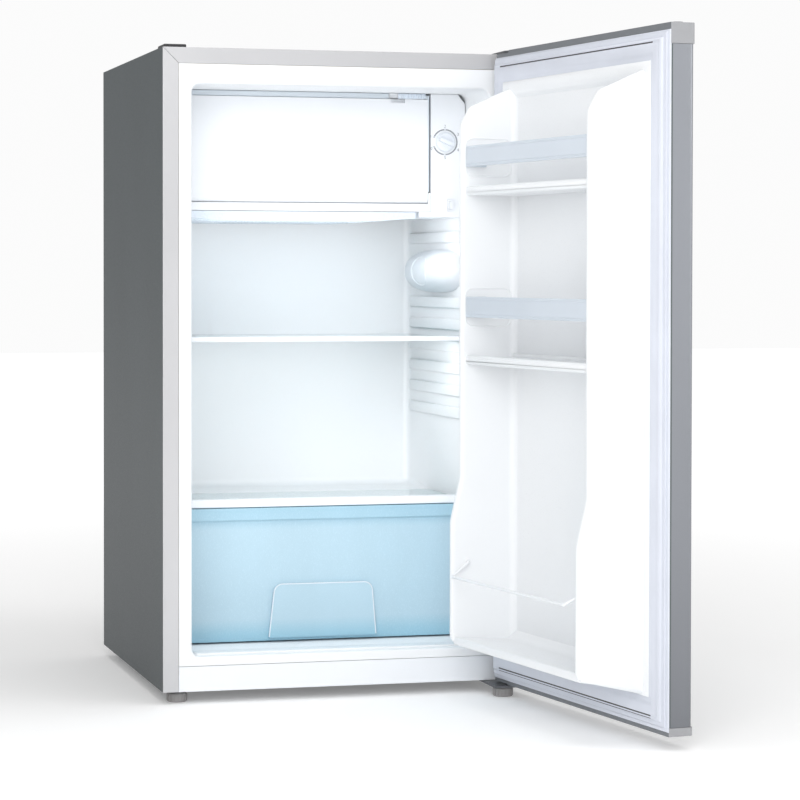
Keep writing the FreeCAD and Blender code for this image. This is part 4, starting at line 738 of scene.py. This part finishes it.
def freezer_seal():
    """Pale blue strips that fill the gaps over and beside the freezer flap, behind its front: painted light where
    the gaps would show shade.
    """
    low, high = box("freezer_flap")
    bm = bmesh.new()
    catch = box("freezer_catch")
    edge = high.x - 3.4                      # the flap's plate, without its hinge pin
    slab(bm, (low.x + 3, low.y + 1.5, high.z + 0.5), (catch[0].x - 1, high.y, HOLE_TOP - 0.5), 0.6, 2)
    slab(bm, (catch[1].x + 1, low.y + 1.5, high.z + 0.5), (edge, high.y, HOLE_TOP - 2.6), 0.6, 2)
    slab(bm, (edge + 0.25, low.y + 1.2, low.z + 16), (edge + 2, high.y - 1, HOLE_TOP - 2.6), 0.3, 2)
    finish_piece("freezer_seal", bm, "cabinet", "white_plastic", mat=PAINTED_LIGHT_BLUE)


def freezer_sill():
    """The strip that closes the gap under the freezer flap."""
    low, high = box("freezer_flap")
    rail_top = low.z - 1.4
    bm = bmesh.new()
    slab(bm, (low.x + 1, low.y + 0.1, rail_top - 0.4), (high.x - 1, low.y + 4.6, low.z - 0.3), 0.5, 2)
    finish_piece("freezer_sill", bm, "cabinet", "white_plastic")


def grip_rim():
    """The raised edge round the drawer's moulded grip, paler than the drawer: a painted highlight."""
    low = box("crisper_drawer")[0]
    face = low.y
    foot, top = low.z + 5.5, 138.2
    corners = [(-73.2, foot), (-65.3, top), (68.3, top), (74.2, foot)]
    path = filleted(corners, [0, 11.5, 11.5, 0], 8)
    bm = bmesh.new()
    tube(bm, [(p.x, face + 0.2, p.y) for p in path], 0.9, 8)
    finish_piece("grip_rim", bm, "crisper_drawer", "drawer_blue", mat=PAINTED_LIGHT_BLUE)


def evaporator_channels():
    """The inflated refrigerant channels on the freezer's ceiling."""
    bm = bmesh.new()
    low, high = box("evaporator")
    top = high.z - 1.7
    path = []
    for number in range(8):
        x = low.x + 30 + 38 * number
        ends = (low.y + 30, high.y - 25) if number % 2 == 0 else (high.y - 25, low.y + 30)
        path += [(x, ends[0], top), (x, ends[1], top)]
    tube(bm, path, 2.6, 8)
    finish_piece("evaporator_channels", bm, "cabinet", "aluminium")


WIRE_COUNT = 40
SHELL_RADIUS = 64


def condenser_wires():
    """The thin wires welded across the condenser tube on both sides."""
    bm = bmesh.new()
    low, high = box("condenser")
    for step in range(WIRE_COUNT):
        x = low.x + 10 + (high.x - low.x - 20) * step / (WIRE_COUNT - 1)
        for y in (high.y + 0.4, high.y - 5.4):
            tube(bm, [(x, y, 246), (x, y, high.z + 6)], 0.7, 6)
    finish_piece("condenser_wires", bm, "cabinet", "black_paint")


def compressor_detail():
    """The weld band round the compressor's shell, and its service stub."""
    bm = bmesh.new()
    low, high = box("compressor")
    centre = ((low.x + high.x) / 2, (low.y + high.y) / 2, 0)
    band = ((-1, 96), (1.1, 97), (1.5, 99), (1.1, 101), (-1, 102))
    lathe(bm, [(SHELL_RADIUS + proud, level) for proud, level in band], centre, "z", 72)
    tube(bm, [(centre[0] + 20, centre[1] + 40, 150), (centre[0] + 24, centre[1] + 52, 152),
              (centre[0] + 26, centre[1] + 60, 148)], 3, 12)
    finish_piece("compressor_band", bm, "cabinet", "black_paint")


liner_skin()
door_lining_skin()
gasket_skin()
lining_edge()
panel_return()
balcony_bar("upper")
balcony_bar("middle")
knob_skin()
dial_ring()
dial_numbers()
lamp_skin()
catch_detail()
freezer_seal()
freezer_sill()
grip_rim()
evaporator_channels()
condenser_wires()
compressor_detail()


# ---------------------------------------------------------------- stage, lights and camera

def area_light(name, place, target, width, energy):
    """A square soft light at a place, turned to a target, both in metres."""
    data = bpy.data.lights.new(name, "AREA")
    data.shape, data.size, data.energy = "SQUARE", width, energy
    lamp = bpy.data.objects.new(name, data)
    bpy.context.scene.collection.objects.link(lamp)
    lamp.location = place
    lamp.rotation_euler = (Vector(target) - Vector(place)).to_track_quat("-Z", "Y").to_euler()
    return lamp


def brighten_far_floor(mat):
    """Let the floor fade into the bright surround away from the object."""
    nodes, links = mat.node_tree.nodes, mat.node_tree.links
    where = nodes.new("ShaderNodeTexCoord")
    reach = nodes.new("ShaderNodeVectorMath")
    reach.operation = "LENGTH"
    links.new(where.outputs["Object"], reach.inputs[0])
    fade = nodes.new("ShaderNodeMapRange")
    for socket, value in (("From Min", 0.7), ("From Max", 3.2), ("To Min", 0.14), ("To Max", 0.52)):
        fade.inputs[socket].default_value = value
    links.new(reach.outputs["Value"], fade.inputs["Value"])
    links.new(fade.outputs["Result"], nodes["Principled BSDF"].inputs["Emission Strength"])


def studio():
    """A pale floor, a plain bright surround and soft lights."""
    bpy.ops.mesh.primitive_plane_add(size=30, location=(0, 0, 0))
    floor = bpy.context.object
    floor.name = "floor"
    floor.data.materials.append(material("floor_white", srgb(247, 247, 247), 0.75, spread=0.004, patch=0.5,
                                         grain=20, bump=0.0,
                                         Emission_Color=(1, 1, 1, 1), Emission_Strength=0.14))
    brighten_far_floor(floor.data.materials[0])
    world = bpy.data.worlds.new("studio")
    bpy.context.scene.world = world
    world.use_nodes = True
    nodes, links = world.node_tree.nodes, world.node_tree.links
    nodes["Background"].inputs["Strength"].default_value = 0.55
    nodes["Background"].inputs["Color"].default_value = (1, 1, 1, 1)
    backdrop = nodes.new("ShaderNodeBackground")
    backdrop.inputs["Color"].default_value = (1, 1, 1, 1)
    backdrop.inputs["Strength"].default_value = 0.97
    ray, choice = nodes.new("ShaderNodeLightPath"), nodes.new("ShaderNodeMixShader")
    links.new(ray.outputs["Is Camera Ray"], choice.inputs["Fac"])
    links.new(nodes["Background"].outputs[0], choice.inputs[1])
    links.new(backdrop.outputs[0], choice.inputs[2])
    links.new(choice.outputs[0], nodes["World Output"].inputs["Surface"])
    for name, place, target, size, energy in (
        ("inside_light", (0, -0.25, 0.42), (0, 0.2, 0.40), (0.36, 0.62), 0.3),
        ("upper_shelf_light", (0, -0.12, 0.60), (0, 0.15, 0.52), (0.34, 0.05), 0.22),
        ("lower_shelf_light", (0, -0.12, 0.448), (0, 0.15, 0.35), (0.34, 0.05), 0.24),
    ):
        inside = area_light(name, place, target, size[0], energy)
        inside.data.shape, inside.data.size_y = "RECTANGLE", size[1]
    area_light("front_light", (-1.3, -3.6, 1.5), (0, 0, 0.4), 2.2, 62)
    area_light("top_light", (0.2, -0.8, 3.2), (0, -0.2, 0.3), 2.0, 26)
    area_light("right_light", (2.8, -2.2, 1.4), (0.2, -0.3, 0.45), 1.6, 22)


VIEW_PLACE = (-0.8708, -3.6747, 0.55495)
VIEW_TURN = (90 - 1.198, -0.08, -15.418)  # degrees
VIEW_LENS, VIEW_SHIFT = 122.53, -0.0878


def camera():
    """The camera at the matched viewpoint."""
    data = bpy.data.cameras.new("camera")
    data.sensor_width = 36
    data.lens = VIEW_LENS
    data.shift_y = VIEW_SHIFT
    view = bpy.data.objects.new("camera", data)
    bpy.context.scene.collection.objects.link(view)
    view.location = VIEW_PLACE
    view.rotation_euler = [math.radians(angle) for angle in VIEW_TURN]
    bpy.context.scene.camera = view


studio()
camera()
bpy.context.scene.view_settings.view_transform = "Standard"
